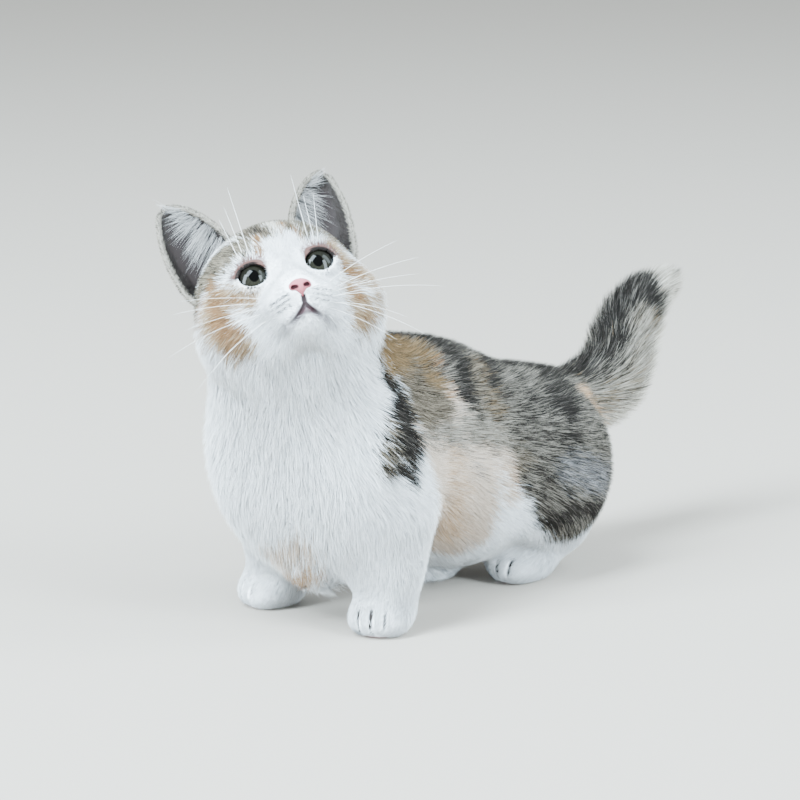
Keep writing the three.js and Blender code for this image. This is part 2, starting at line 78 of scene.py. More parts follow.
EYE_RADIUS = 8.6
EYE_OPENING = (6.2, 4.95)
EYE_TURN = 3
LID = 0.6
NOSE = np.array([0.4, -35.2, -13.3])
MOUTH = [(0.6, -17.2), (0.6, -19.6), (2.8, -22.4), (5.8, -24.4), (9.4, -25.4), (12.6, -25.0)]
EAR_INNER = np.array([13.0, 5, 30])
EAR_OUTER = np.array([35.5, 11, 12])
EAR_TIP = np.array([35.4, 13.8, 53.4])
EAR_DEPTH = 0.36
SIDES = {"left": 1, "right": -1}


# Fields, negative inside
def ellipsoid(centre, radii, turn=0.0):
    c, s = cos(radians(turn)), sin(radians(turn))
    rx, ry, rz = radii

    def field(p):
        dx, dy, dz = (p[:, i] - centre[i] for i in range(3))
        u = (c * dx + s * dy) / rx
        v = (c * dy - s * dx) / ry
        w = dz / rz
        near = np.sqrt(u * u + v * v + w * w)
        slope = np.sqrt((u / rx) ** 2 + (v / ry) ** 2 + (w / rz) ** 2)
        return near * (near - 1) / np.maximum(slope, 1e-6)

    return field


def taper(a, b, ra, rb):
    a, b = np.array(a, float), np.array(b, float)
    u = b - a

    def field(p):
        d = p - a
        t = np.clip(d @ u / (u @ u), 0, 1)
        return np.sqrt(((d - t[:, None] * u) ** 2).sum(1)) - ra - (rb - ra) * t

    return field


def join(a, b, width):
    return np.minimum(a, b) - np.maximum(width - np.abs(a - b), 0) ** 2 / (4 * width)


def blend(width, fields):
    def field(p):
        total = fields[0](p)
        for f in fields[1:]:
            total = join(total, f(p), width)
        return total

    return field


def mirrored(centre, radii):
    return [ellipsoid((centre[0] * s, *centre[1:]), radii) for s in (1, -1)]


def unit(v):
    return v / np.maximum(np.linalg.norm(v, axis=1), 1e-9)[:, None]


def paw_point(place, u, v, z):
    x, y, turn = place
    c, s = cos(radians(turn)), sin(radians(turn))
    return (x + c * u - s * v, y + s * u + c * v, z)


def paw(place, size):
    half, length = size
    return blend(
        6,
        [
            ellipsoid(paw_point(place, 0, 1, 8), (half * 0.95, length, 9), place[2]),
            ellipsoid(paw_point(place, 0, -length * 0.5, 6), (half, length * 0.75, 7), place[2]),
        ],
    )


def foreleg(place):
    x, y = place[:2]
    return blend(
        10,
        [
            taper((x, y + 7, 52), (x, y + 4, 26), 18, 13),
            taper((x, y + 4, 26), (x, y + 2, 11), 13, 10.5),
            paw(place, FRONT_PAW),
        ],
    )


def hindleg(side, place):
    hip = (HIPS_X + HAUNCH_OUT * side, HAUNCH_Y, HAUNCH_Z)
    heel = (place[0] + HEEL_OUT * side, place[1] + HEEL_BACK, HEEL_Z)
    return blend(
        10,
        [
            ellipsoid(hip, HAUNCH_RADII),
            taper((place[0], place[1] + 6, 9), heel, 9, HEEL_RADIUS),
            paw(place, HIND_PAW),
        ],
    )


def tail_at(t):
    """The tail's place and radius at t, on a centripetal curve through its points."""
    points = TAIL[:, :3]
    last = len(TAIL) - 1
    i = min(int(t * last), last - 1)
    w = t * last - i
    p1, p2 = points[i], points[i + 1]
    p0 = points[i - 1] if i else 2 * points[0] - points[1]
    p3 = points[i + 2] if i + 2 <= last else 2 * points[-1] - points[-2]
    k0, k1, k2 = (np.sum((b - a) ** 2) ** 0.25 for a, b in ((p0, p1), (p1, p2), (p2, p3)))
    t1 = ((p1 - p0) / k0 - (p2 - p0) / (k0 + k1) + (p2 - p1) / k1) * k1
    t2 = ((p2 - p1) / k1 - (p3 - p1) / (k1 + k2) + (p3 - p2) / k2) * k1
    place = p1 + t1 * w + (3 * (p2 - p1) - 2 * t1 - t2) * w**2 + (2 * (p1 - p2) + t1 + t2) * w**3
    return place, TAIL[i, 3] + (TAIL[i + 1, 3] - TAIL[i, 3]) * w


TAIL_STEPS = [tail_at(n / 20) for n in range(21)]


def tail(p):
    stretches = zip(TAIL_STEPS, TAIL_STEPS[1:])
    return np.min([taper(a, b, ra, rb)(p) for (a, ra), (b, rb) in stretches], axis=0)


def turned(axis, angle):
    c, s = cos(radians(angle)), sin(radians(angle))
    u, v = (axis + 1) % 3, (axis + 2) % 3
    m = np.eye(3)
    m[u, u], m[u, v], m[v, u], m[v, v] = c, -s, s, c
    return m


HEAD = turned(2, HEAD_TURN) @ turned(0, -HEAD_PITCH) @ turned(1, HEAD_TILT)


def to_head(p):
    return (p - HEAD_CENTRE) @ HEAD


def from_head(p):
    return np.asarray(p, float) @ HEAD.T + HEAD_CENTRE


head = blend(
    9,
    [
        ellipsoid((0, 9, 5), (33, 33, 28)),
        *mirrored((20, -1, -12), (20, 21, 18)),
        ellipsoid((0, -10, 10), (21, 13, 13)),
        taper((0, -18, 3), (0, -30, -8), 8, 5),
        *mirrored((6.5, -26, -15), (9.5, 9.5, 7)),
        ellipsoid((0, -23, -24.5), (8, 8, 6.5)),
        ellipsoid((0, -4, -20), (20, 20, 13)),
    ],
)
trunk = blend(
    20,
    [
        ellipsoid(*CHEST),
        ellipsoid(*RIBS),
        ellipsoid(*BELLY),
        ellipsoid(*LOIN),
        ellipsoid(*BACK),
        ellipsoid(*BIB),
        *mirrored(*SHOULDER),
        taper(*NECK),
    ],
)
forelegs = {s: foreleg(FRONT_PAWS[s]) for s in (1, -1)}
hindlegs = {s: hindleg(s, HIND_PAWS[s]) for s in (1, -1)}
whole = blend(10, [trunk, tail, *forelegs.values(), *hindlegs.values(), lambda p: head(to_head(p))])


# The lie of the coat: at each place its direction, the hair's length, the coat's depth over the skin, how
# many tufts stand on a square millimetre and how wide one is.
HEAD_LIE = [
    ((0, -33, -8), (0, 0.4, 1), 2.0, 0.35, 6.5, 0.28),
    ((0, -27, 3), (0, 0.5, 1), 3.2, 0.7, 6.0, 0.3),
    ((0, -20, 20), (0, 1, 0.7), 5, 1.4, 5.6, 0.32),
    ((0, 5, 33), (0, 1, 0), 7, 2.2, 4.8, 0.34),
    ((0, 36, 22), (0, 0.8, -1), 9, 4, 3.8, 0.38),
    ((9, -21, 13), (0.2, 0.6, 1), 4.2, 1.1, 6.0, 0.3),
    ((20, -15, 14), (0.8, 0.7, 0.6), 5, 1.4, 5.4, 0.32),
    ((15, -22, -10), (0.9, 0.5, -0.3), 3.8, 0.9, 6.2, 0.3),
    ((7, -33, -15), (1, 0.6, -0.2), 2.4, 0.5, 6.5, 0.28),
    ((14, -24, -18), (1, 0.8, -0.4), 4.6, 1.2, 5.6, 0.32),
    ((26, -14, -4), (0.7, 1, -0.3), 7.5, 2.2, 4.8, 0.34),
    ((34, -2, -10), (0.4, 1, -0.6), 11, 4.2, 3.4, 0.36),
    ((24, -4, -28), (0.4, 0.8, -0.9), 11.5, 4.6, 3.2, 0.36),
    ((33, 8, 12), (0.1, 1, 0), 7.5, 2.6, 4.4, 0.36),
    ((0, -29, -27), (0, 0.7, -1), 3.4, 0.9, 6.0, 0.3),
    ((9, -22, -28), (0.4, 0.9, -1), 5.5, 1.6, 5.0, 0.34),
    ((4, -31, -22), (0.7, 0.4, 0.6), 1.7, 0.35, 6.5, 0.28),
    ((0, -12, -32), (0, 0.6, -1), 11, 4.2, 3.2, 0.36),
    ((24, 8, 30), (0.4, 0.5, 1), 4.0, 1.0, 5.2, 0.32),
    ((34, 13, 48), (0.3, 0.1, 1), 2.4, 0.5, 5.4, 0.28),
]
BODY_LIE = [
    ((-6, -40, 105), (0, -0.1, -1), 14, 6, 2.9, 0.34),
    ((30, -30, 100), (0.3, 0.2, -1), 14, 5.5, 2.9, 0.34),
    ((-42, -20, 100), (-0.3, 0.2, -1), 14, 5.5, 2.6, 0.36),
    ((-6, -42, 76), (0, 0.1, -1), 16, 6.5, 2.8, 0.34),
    ((-4, -34, 46), (0, -0.1, -1), 17, 7, 2.8, 0.34),
    ((0, -16, 26), (0, -0.1, -1), 18, 6, 2.8, 0.34),
    ((-2, 14, 126), (0.0, 0.8, -0.5), 10.5, 4.6, 3.3, 0.36),
    ((34, -2, 108), (0.2, 0.7, -0.7), 11, 4.6, 3.2, 0.36),
    ((-42, 0, 108), (-0.2, 0.7, -0.7), 11, 4.6, 3.0, 0.38),
    ((47, -2, 72), (0.1, 0.6, -0.8), 10, 4.2, 3.3, 0.36),
    ((-54, -2, 72), (-0.1, 0.6, -0.8), 10, 4.2, 3.0, 0.4),
    ((44, 36, 72), (0, 1, -0.25), 8, 4, 3.9, 0.34),
    ((-48, 36, 72), (0, 1, -0.25), 8.5, 4, 3.3, 0.4),
    ((-3, 40, 113), (0, 1, -0.05), 8.5, 4, 3.7, 0.36),
    ((0, 80, 105), (0, 1, -0.2), 8, 4, 3.7, 0.36),
    ((6, 118, 92), (0, 1, -0.15), 8, 4, 3.7, 0.36),
    ((6, 150, 60), (0, 0.7, -1), 10, 4.4, 3.2, 0.38),
    ((46, 84, 48), (0, 1, -0.5), 8.5, 4, 3.9, 0.34),
    ((-44, 84, 48), (0, 1, -0.5), 9, 4, 3.3, 0.4),
    ((48, 118, 48), (0, 1, -0.45), 8, 3.8, 4.0, 0.34),
    ((-34, 118, 48), (0, 1, -0.45), 8.5, 3.8, 3.4, 0.4),
    ((24, 50, 24), (0.2, 0.8, -0.7), 11, 4.2, 3.0, 0.36),
    ((-26, 50, 24), (-0.2, 0.8, -0.7), 11, 4.2, 2.8, 0.4),
    ((0, 70, 10), (0, 1, -0.4), 11, 4.2, 2.6, 0.4),
]


def lie_table():
    rows = []
    for place, flow, *rest in HEAD_LIE:
        for s in (1, -1) if place[0] else (1,):
            at, along = (np.array([v[0] * s, v[1], v[2]], float) for v in (place, flow))
            rows.append((*from_head(at), *(HEAD @ along), *rest))
    for place, flow, *rest in BODY_LIE:
        rows.append((*place, *flow, *rest))
    for place in FRONT_PAWS.values():
        x, y, turn = place
        toe = np.array(paw_point(place, 0, -1, 0)) - (x, y, 0)
        rows.append((x, y + 6, 48, 0, 0.1, -1, 9, 3.2, 3.6, 0.36))
        rows.append((x, y + 4, 28, 0, 0, -1, 7, 2.2, 4.4, 0.34))
        rows.append((x, y + 1, 14, *(toe * 0.5 - (0, 0, 1)), 5.5, 1.6, 4.8, 0.34))
        rows.append((*paw_point(place, 0, -12, 7), *(toe - (0, 0, 0.5)), 4.2, 1.0, 5.4, 0.32))
    for s, place in HIND_PAWS.items():
        x, y, turn = place
        toe = np.array(paw_point(place, 0, -1, 0)) - (x, y, 0)
        hip_x = HIPS_X + HAUNCH_OUT * s
        rows.append((hip_x + 14 * s, HAUNCH_Y + 4, 22, 0, 0.3, -1, 10, 3.4, 3.4, 0.4))
        rows.append((x + HEEL_OUT * s, y + HEEL_BACK + 6, 10, 0, -0.3, -1, 5, 1.6, 4.6, 0.36))
        rows.append((x, y + 8, 11, *(toe - (0, 0, 0.4)), 5.5, 1.6, 4.8, 0.34))
        rows.append((*paw_point(place, 0, -12, 6), *(toe - (0, 0, 0.5)), 4.2, 1.0, 5.4, 0.32))
    for (a, radius), (b, _) in zip(TAIL_STEPS[2::3], TAIL_STEPS[3::3]):
        length = 7 + 0.3 * radius
        rows.append((*a, *((b - a) / np.linalg.norm(b - a)), length, radius * 0.33, 3.7, 0.36))
    return np.array(rows, float)


LIE = lie_table()
LIE_SOFTNESS = 16.0
LIE_BATCH = 20000


def eye_at(side):
    return EYE * (side, 1, 1)


def eye_local(q, side):
    """Places relative to an eye, with its opening facing -y."""
    return (q - eye_at(side)) @ turned(2, EYE_TURN * side)


def lie(p):
    """The coat's direction, length, depth, density and width at places, from the table's nearest rows."""
    result = np.empty((len(p), 7))
    for first in range(0, len(p), LIE_BATCH):
        here = p[first : first + LIE_BATCH]
        apart = ((here[:, None, :] - LIE[None, :, :3]) ** 2).sum(2) + LIE_SOFTNESS
        weight = 1 / (apart * apart * np.sqrt(apart))
        result[first : first + LIE_BATCH] = weight @ LIE[:, 3:] / weight.sum(1)[:, None]
    flow = unit(result[:, :3])
    length, depth = result[:, 3], result[:, 4]
    q = to_head(p)
    # round the eyes the hair is short and points away from the lids
    for side in (1, -1):
        local = eye_local(q, side)
        out = np.hypot(local[:, 0] * 0.85, local[:, 2])
        close = np.clip((12.0 - out) / 4.5, 0, 1) * (local[:, 1] < 2)
        away = np.stack([local[:, 0], np.full(len(q), 0.25), local[:, 2]], 1)
        away = unit(away @ turned(2, EYE_TURN * side).T @ HEAD.T)
        flow = unit(flow * (1 - close[:, None]) + away * close[:, None])
        length = length * (1 - close) + (1.5 + 0.35 * np.maximum(out - 5, 0)) * close
        depth = depth * (1 - close) + 0.4 * close
    return flow, length, depth, result[:, 5], result[:, 6]


# The face, in the head's own frame
def lid_line(side, count=72):
    """The edge of an eye's opening: round, drawn out a little to the inner corner."""
    a = np.linspace(0, 2 * pi, count, endpoint=False)
    inner = np.clip(-np.cos(a) * side, 0, 1) ** 8
    outer = np.clip(np.cos(a) * side, 0, 1) ** 8
    x = np.cos(a) * EYE_OPENING[0] * (1 + 0.2 * inner + 0.05 * outer)
    z = np.sin(a) * EYE_OPENING[1] - 1.6 * inner
    reach = EYE_RADIUS + 0.35
    y = -np.sqrt(np.maximum(reach**2 - x**2 - z**2, 4))
    return np.stack([x, y, z], 1) @ turned(2, EYE_TURN * side).T + eye_at(side)


def near_line(q, line, closed=False):
    """Distance of places from a line of points."""
    ends = np.roll(line, -1, 0) if closed else line[1:]
    best = np.full(len(q), 1e9)
    for a, b in zip(line, ends):
        best = np.minimum(best, taper(a, b, 0, 0)(q))
    return best


def near_lines(q, tracks):
    """Distance of places from the nearest of some lines."""
    return np.min([near_line(q, track) for track in tracks], axis=0)


def on_face(x, z):
    """Places of the face's surface, straight in from the front."""
    low, high = np.full(len(x), -60.0), np.zeros(len(x))
    for _ in range(24):
        middle = (low + high) / 2
        inside = head(np.stack([x, middle, z], 1)) < 0
        high = np.where(inside, middle, high)
        low = np.where(inside, low, middle)
    return np.stack([x, low, z], 1)


def smooth_line(points, count):
    """Points along a curve through the given ones."""
    points = np.array(points, float)
    t = np.linspace(0, len(points) - 1, count)
    padded = np.vstack([2 * points[0] - points[1], points, 2 * points[-1] - points[-2]])
    i = np.minimum(t.astype(int), len(points) - 2)
    w = (t - i)[:, None]
    a, b, c, d = (padded[i + n] for n in range(4))
    return 0.5 * (2 * b + (c - a) * w + (2 * a - 5 * b + 4 * c - d) * w**2 + (3 * b - a - 3 * c + d) * w**3)


def mouth_fade(q):
    """How strongly the mouth shows: less towards its ends."""
    return np.clip(1.3 - np.abs(q[:, 0] - MOUTH[0][0]) / 12, 0, 1)


def mouth_lines():
    lines = []
    for s in (1, -1):
        drawn = smooth_line([(MOUTH[0][0] + (x - MOUTH[0][0]) * s, z) for x, z in MOUTH], 26)
        lines.append(on_face(drawn[:, 0], drawn[:, 1]) + (0, 0.7, 0))
    return lines


MOUTH_LINES = mouth_lines()
LID_LINES = {s: lid_line(s) for s in (1, -1)}


def ear_point(side, h, across, inset):
    """A place on an ear's cup: h up it, across from its inner edge, inset from its back to its hollow."""
    flip = np.array([side, 1, 1])
    inner, outer, tip = EAR_INNER * flip, EAR_OUTER * flip, EAR_TIP * flip
    middle = (inner + outer) / 2
    rise = tip - middle
    back = np.cross(outer - inner, rise)
    back *= -side / np.linalg.norm(back)
    full = (1 - min(max(h, 0), 1) ** 2) ** 0.68 * (1 + h * 0.5 if h < 0 else 1)
    chord = (outer - inner) * full
    wide = np.linalg.norm(chord)
    bend = 0.5 - 0.5 * cos(pi * across)
    return middle + rise * h + chord * (bend - 0.5) + back * (wide * EAR_DEPTH * sin(pi * across) - inset)


EAR_ROWS, EAR_COLUMNS = 30, 18
EAR_FOOT, EAR_HEIGHT = -0.3, 1.27
EAR_MIDDLE = 1.0
EAR_THICKNESS = 1.9
EAR_REACH = 7.0
FAR = 9.0


def ear_sheet(side):
    """The middle sheet of an ear's cup."""
    grid = [
        ear_point(side, EAR_FOOT + EAR_HEIGHT * row / EAR_ROWS, column / EAR_COLUMNS, EAR_MIDDLE)
        for row in range(EAR_ROWS + 1)
        for column in range(EAR_COLUMNS + 1)
    ]
    wide = EAR_COLUMNS + 1
    faces = [
        (a, a + 1, a + wide + 1, a + wide)
        for row in range(EAR_ROWS)
        for a in range(row * wide, row * wide + EAR_COLUMNS)
    ]
    return BVHTree.FromPolygons([Vector(p) for p in grid], faces)


def ear_edge(side):
    """Places up an ear's inner edge and down its outer one."""
    heights = np.linspace(-0.2, 0.96, 9)
    way = [(h, 0) for h in heights] + [(h, 1) for h in heights[::-1]]
    return np.array([ear_point(side, h, across, EAR_MIDDLE) for h, across in way])


EARS = {s: ear_sheet(s) for s in (1, -1)}
EAR_EDGES = {s: ear_edge(s) for s in (1, -1)}


def ear_parts(q, side):
    """Distance from an ear's middle sheet, exact close to it, and how far behind it a place is."""
    flip = np.array([side, 1, 1])
    low, high = np.array([6.0, -2, 5]), np.array([46.0, 34, 62])
    near = np.flatnonzero(((q * flip > low) & (q * flip < high)).all(1))
    result = np.full(len(q), FAR)
    behind = np.zeros(len(q))
    middle = ear_point(side, 0.4, 0.5, EAR_MIDDLE)
    back = (ear_point(side, 0.4, 0.5, 0) - middle) @ EARS[side].find_nearest(middle)[1]
    for n in near:
        place, normal, _, distance = EARS[side].find_nearest(q[n], EAR_REACH)
        if place is not None:
            result[n] = distance
            behind[n] = (q[n] - np.array(place)) @ normal * back
    return result, behind


def ear(q, side):
    return ear_parts(q, side)[0] - EAR_THICKNESS / 2


def toe_lines(field, place, size):
    """The three lines that part a paw's toes, over its front and top."""
    half, length = size
    lines = []
    for n in (-0.5, 0, 0.5):
        rays = [(cos(radians(a)), sin(radians(a))) for a in (-25, -5, 15, 35, 55)]
        low, high = np.zeros(len(rays)), np.full(len(rays), 30.0)
        for _ in range(20):
            reach = (low + high) / 2
            at = np.array(
                [
                    paw_point(place, n * half, -length * 0.4 - r * c, 5 + r * u)
                    for r, (c, u) in zip(reach, rays)
                ]
            )
            inside = field(at) < -TOE_DEPTH
            low, high = np.where(inside, reach, low), np.where(inside, high, reach)
        lines.append(at)
    return lines


TOE_DEPTH = 0.9
TOE_LINES = [
    line
    for legs, places, size in ((forelegs, FRONT_PAWS, FRONT_PAW), (hindlegs, HIND_PAWS, HIND_PAW))
    for s in (1, -1)
    for line in toe_lines(legs[s], places[s], size)
]
# a nostril: its round opening, and the slit that leads out from it
NOSTRIL = (
    lambda s: ((2.2 * s, -3.5, -0.5), (3.2 * s, -2.3, -0.1), 1.15, 0.9),
    lambda s: ((3.2 * s, -2.6, -0.4), (5.2 * s, -1.0, -0.9), 0.6, 0.35),
)
LOWER_LIP = np.array([0.8, -32.0, -22.4])
LIP_RADII = (2.7, 1.7, 1.3)
# an ear's bare middle: round places up it, each with its height, place across and radius
HOLLOW = [(0.1, 0.62, 5.0), (0.32, 0.6, 6.0), (0.54, 0.58, 5.4), (0.72, 0.55, 3.6)]
HOLLOW_INSET = 1.6


def ear_hollow(q):
    """Distance from the bare middle of either ear's hollow, along its inner face."""
    result = np.full(len(q), FAR)
    for side in (1, -1):
        for h, across, wide in HOLLOW:
            middle = ear_point(side, h, across, HOLLOW_INSET)
            result = np.minimum(result, np.sqrt(((q - middle) ** 2).sum(1)) - wide)
        result[ear_parts(q, side)[1] > 0] = FAR
    return result


def face(q, surface):
    """Eyes' openings, lids and the line of the mouth, worked into the head's surface."""
    for side in (1, -1):
        local = eye_local(q, side)
        radii = (EYE_OPENING[0] + 0.3, EYE_RADIUS + 1, EYE_OPENING[1] + 0.3)
        window = ellipsoid((0, -6.5, 0), radii)(local)
        surface = np.maximum(surface, -window)
        near = np.flatnonzero((np.abs(q - eye_at(side)) < 13).all(1))
        ball = np.sqrt((local**2).sum(1)) - EYE_RADIUS
        # the lids lie over the eyeball as a thin fold outside their edge
        lid_out = np.hypot(local[near, 0] / EYE_OPENING[0], local[near, 2] / EYE_OPENING[1]) - 1
        fold = np.maximum(ball[near] - 1.25, -lid_out * 4)
        fold = np.maximum(fold, lid_out * 4 - 4)
        fold = np.maximum(fold, local[near, 1] + 1)
        lid = near_line(q[near], LID_LINES[side], closed=True) - LID
        surface[near] = join(surface[near], np.minimum(lid, fold), 1.2)
        surface = np.maximum(surface, 0.12 - ball)
    near = np.flatnonzero((q[:, 1] < -14) & (q[:, 2] < -9) & (q[:, 2] > -32) & (np.abs(q[:, 0]) < 18))
    for s in (1, -1):
        a, b, ra, rb = NOSTRIL[0](s)
        surface[near] = np.maximum(surface[near], -taper(NOSE + a, NOSE + b, ra + 0.6, rb + 0.6)(q[near]))
    lip = ellipsoid(LOWER_LIP, LIP_RADII)(q[near])
    surface[near] = join(surface[near], lip, 1.0)
    groove = near_lines(q[near], MOUTH_LINES) - 0.6
    surface[near] = -join(-surface[near], groove, 0.7)
    return surface


def skin_field(p):
    outer = whole(p)
    close = np.flatnonzero(np.abs(outer) < 12)
    depth = np.full(len(p), 3.0)
    depth[close] = lie(p[close])[2]
    surface = outer + depth
    low = np.flatnonzero((p[:, 2] < 18) & (np.abs(surface) < 5))
    toes = near_lines(p[low], TOE_LINES) - 0.6
    surface[low] = -join(-surface[low], toes, 0.9)
    surface = np.maximum(surface, -p[:, 2])
    q = to_head(p)
    by_head = np.flatnonzero((np.abs(q - (0, 6, 12)) < (52, 48, 52)).all(1))
    part = face(q[by_head], surface[by_head])
    for side in (1, -1):
        part = join(part, ear(q[by_head], side), 3.0)
    surface[by_head] = part
    return surface


# Meshes
def lines(*stops):
    """Grid lines through the stops, which alternate places and the step between them."""
    grid = [stops[0]]
    for low, step, high in zip(stops[::2], stops[1::2], stops[2::2]):
        count = max(1, round((high - low) / step))
        grid.extend(low + (high - low) * n / count for n in range(1, count + 1))
    return np.array(grid)


def net(field, xs, ys, zs):
    """The surface where a field is zero, one vertex to each grid cell that it passes through."""
    grids = (xs, ys, zs)
    places = np.stack(np.meshgrid(*grids, indexing="ij"), -1).reshape(-1, 3)
    value = np.concatenate([field(part) for part in np.array_split(places, max(1, len(places) // 400000))])
    value = value.reshape([len(g) for g in grids])
    for axis in range(3):
        for end in (0, -1):
            border = np.moveaxis(value, axis, 0)[end]
            np.maximum(border, 0.5, out=border)
    inside = value < 0
    keys, points, quads = [], [], []
    for axis in range(3):
        u, v = (axis + 1) % 3, (axis + 2) % 3
        low = np.moveaxis(inside, axis, 0)[:-1]
        high = np.moveaxis(inside, axis, 0)[1:]
        found = np.argwhere(low != high)
        order = [axis, *[n for n in range(3) if n != axis]]
        cell = np.empty_like(found)
        for column, a in enumerate(order):
            cell[:, a] = found[:, column]
        step = np.eye(3, dtype=int)
        a = value[tuple(cell.T)]
        b = value[tuple((cell + step[axis]).T)]
        t = a / (a - b)
        point = np.stack([g[cell[:, n]] for n, g in enumerate(grids)], 1)
        point[:, axis] += t * (grids[axis][cell[:, axis] + 1] - grids[axis][cell[:, axis]])
        around = [cell - step[u] - step[v], cell - step[v], cell, cell - step[u]]
        round_keys = np.stack([np.ravel_multi_index(c.T, value.shape) for c in around], 1)
        flip = a > 0
        round_keys[flip] = round_keys[flip][:, ::-1]
        quads.append(round_keys)
        keys.append(round_keys.ravel())
        points.append(np.repeat(point, 4, 0))
    keys, points, quads = np.concatenate(keys), np.concatenate(points), np.concatenate(quads)
    used, place = np.unique(keys, return_inverse=True)
    count = np.bincount(place)
    vertex = np.stack([np.bincount(place, points[:, n]) / count for n in range(3)], 1)
    return vertex, np.searchsorted(used, quads)


def slope(field, p, step=0.05):
    """A field's value and gradient."""
    grad = np.empty_like(p)
    for n in range(3):
        d = np.zeros(3)
        d[n] = step
        grad[:, n] = (field(p + d) - field(p - d)) / (2 * step)
    return field(p), grad


def settle(field, p, passes=2):
    """Places moved onto a field's surface."""
    for _ in range(passes):
        value, grad = slope(field, p)
        size = np.maximum((grad**2).sum(1), 0.3)
        p = p - grad * np.clip(value / size, -1, 1)[:, None]
    return p


def new_object(name, mesh, material):
    obj = bpy.data.objects.new(name, mesh)
    bpy.context.scene.collection.objects.link(obj)
    mesh.materials.append(material)
    return obj


def set_places(mesh, p):
    mesh.vertices.foreach_set("co", ((p - ORIGIN) * MM).astype(np.float32).ravel())


def new_mesh(name, vertex, faces):
    """A smooth mesh from arrays, its faces all with the same number of corners."""
    mesh = bpy.data.meshes.new(name)
    corners = faces.shape[1]
    mesh.vertices.add(len(vertex))
    set_places(mesh, vertex)
    mesh.loops.add(faces.size)
    mesh.loops.foreach_set("vertex_index", faces.astype(np.int32).ravel())
    mesh.polygons.add(len(faces))
    mesh.polygons.foreach_set("loop_start", np.arange(0, faces.size, corners, dtype=np.int32))
    mesh.update(calc_edges=True)
    mesh.polygons.foreach_set("use_smooth", np.ones(len(faces), bool))
    return mesh


def paint(mesh, colour):
    """Colours of a mesh's vertices."""
    layer = mesh.color_attributes.new("tint", "FLOAT_COLOR", "POINT")
    rgba = np.ones((len(mesh.vertices), 4), np.float32)
    rgba[:, :3] = colour
    layer.data.foreach_set("color", rgba.ravel())


def places_of(mesh):
    co = np.empty(len(mesh.vertices) * 3, np.float32)
    mesh.vertices.foreach_get("co", co)
    return co.reshape(-1, 3).astype(float) / MM + ORIGIN


# Markings
def linear(*srgb):
    c = np.array(srgb, float) / 255
    return np.where(c < 0.04045, c / 12.92, ((c + 0.055) / 1.055) ** 2.4)


def over(colour, cover, srgb, dim=1.0):
    """Colours with another laid over them, as far as it covers each."""
    cover = np.clip(cover, 0, 1)[:, None]
    return colour * (1 - cover) + linear(*srgb) * dim * cover


# Each kind of coat: colours of a tuft's root and tip, and how often each pair grows.
KINDS = {
    # white: its darker roots are painted shade deep in the coat, where the tufts overlap
    "white": [((226, 228, 233), (251, 252, 253), 0.65), ((196, 198, 204), (240, 242, 245), 0.35)],
    "cream": [((220, 204, 190), (212, 192, 174), 0.7), ((186, 168, 154), (176, 154, 136), 0.3)],
    "peach": [((212, 186, 162), (200, 166, 134), 0.75), ((176, 150, 124), (156, 124, 94), 0.25)],
    "tan": [
        ((119, 99, 74), (115, 88, 56), 0.4),
        ((140, 123, 99), (138, 112, 79), 0.3),
        ((61, 52, 40), (43, 36, 28), 0.3),
    ],
    "grizzle": [
        ((120, 109, 97), (141, 129, 112), 0.4),
        ((84, 75, 65), (74, 64, 55), 0.3),
        ((49, 42, 36), (34, 29, 24), 0.3),
    ],
    "orange": [((178, 142, 103), (151, 106, 66), 0.7), ((146, 110, 75), (114, 76, 46), 0.3)],
    "wash": [((182, 162, 139), (176, 151, 122), 0.7), ((148, 127, 104), (134, 109, 83), 0.3)],
    "ginger": [((150, 120, 92), (140, 103, 70), 0.7), ((116, 90, 67), (100, 70, 45), 0.3)],
    "brown": [((84, 66, 52), (62, 46, 34), 0.6), ((108, 86, 66), (96, 72, 50), 0.4)],
    "pepper": [
        ((45, 41, 38), (24, 20, 18), 0.42),
        ((66, 61, 57), (59, 53, 48), 0.28),
        ((95, 89, 83), (155, 147, 136), 0.3),
    ],
    "silver": [
        ((69, 66, 66), (49, 46, 46), 0.32),
        ((95, 93, 94), (104, 102, 104), 0.38),
        ((121, 119, 121), (163, 161, 163), 0.3),
    ],
    "dark": [
        ((43, 39, 36), (22, 19, 17), 0.72),
        ((61, 56, 52), (51, 46, 43), 0.18),
        ((87, 82, 77), (107, 101, 95), 0.1),
    ],
    "grey": [
        ((135, 128, 119), (163, 155, 144), 0.5),
        ((111, 104, 96), (125, 117, 107), 0.28),
        ((63, 56, 49), (49, 43, 37), 0.22),
    ],
    "tick": [
        ((150, 142, 128), (142, 130, 112), 0.48),
        ((98, 90, 79), (78, 69, 59), 0.3),
        ((52, 47, 42), (33, 29, 25), 0.22),
    ],
    "pale": [((222, 216, 206), (208, 199, 185), 0.8), ((160, 150, 138), (134, 124, 112), 0.2)],
    # down: near-black inside the ears, painted shade in the ear's cup
    "down": [((54, 48, 46), (60, 55, 53), 0.5), ((42, 36, 34), (44, 38, 36), 0.5)],
}
NAMES = list(KINDS)

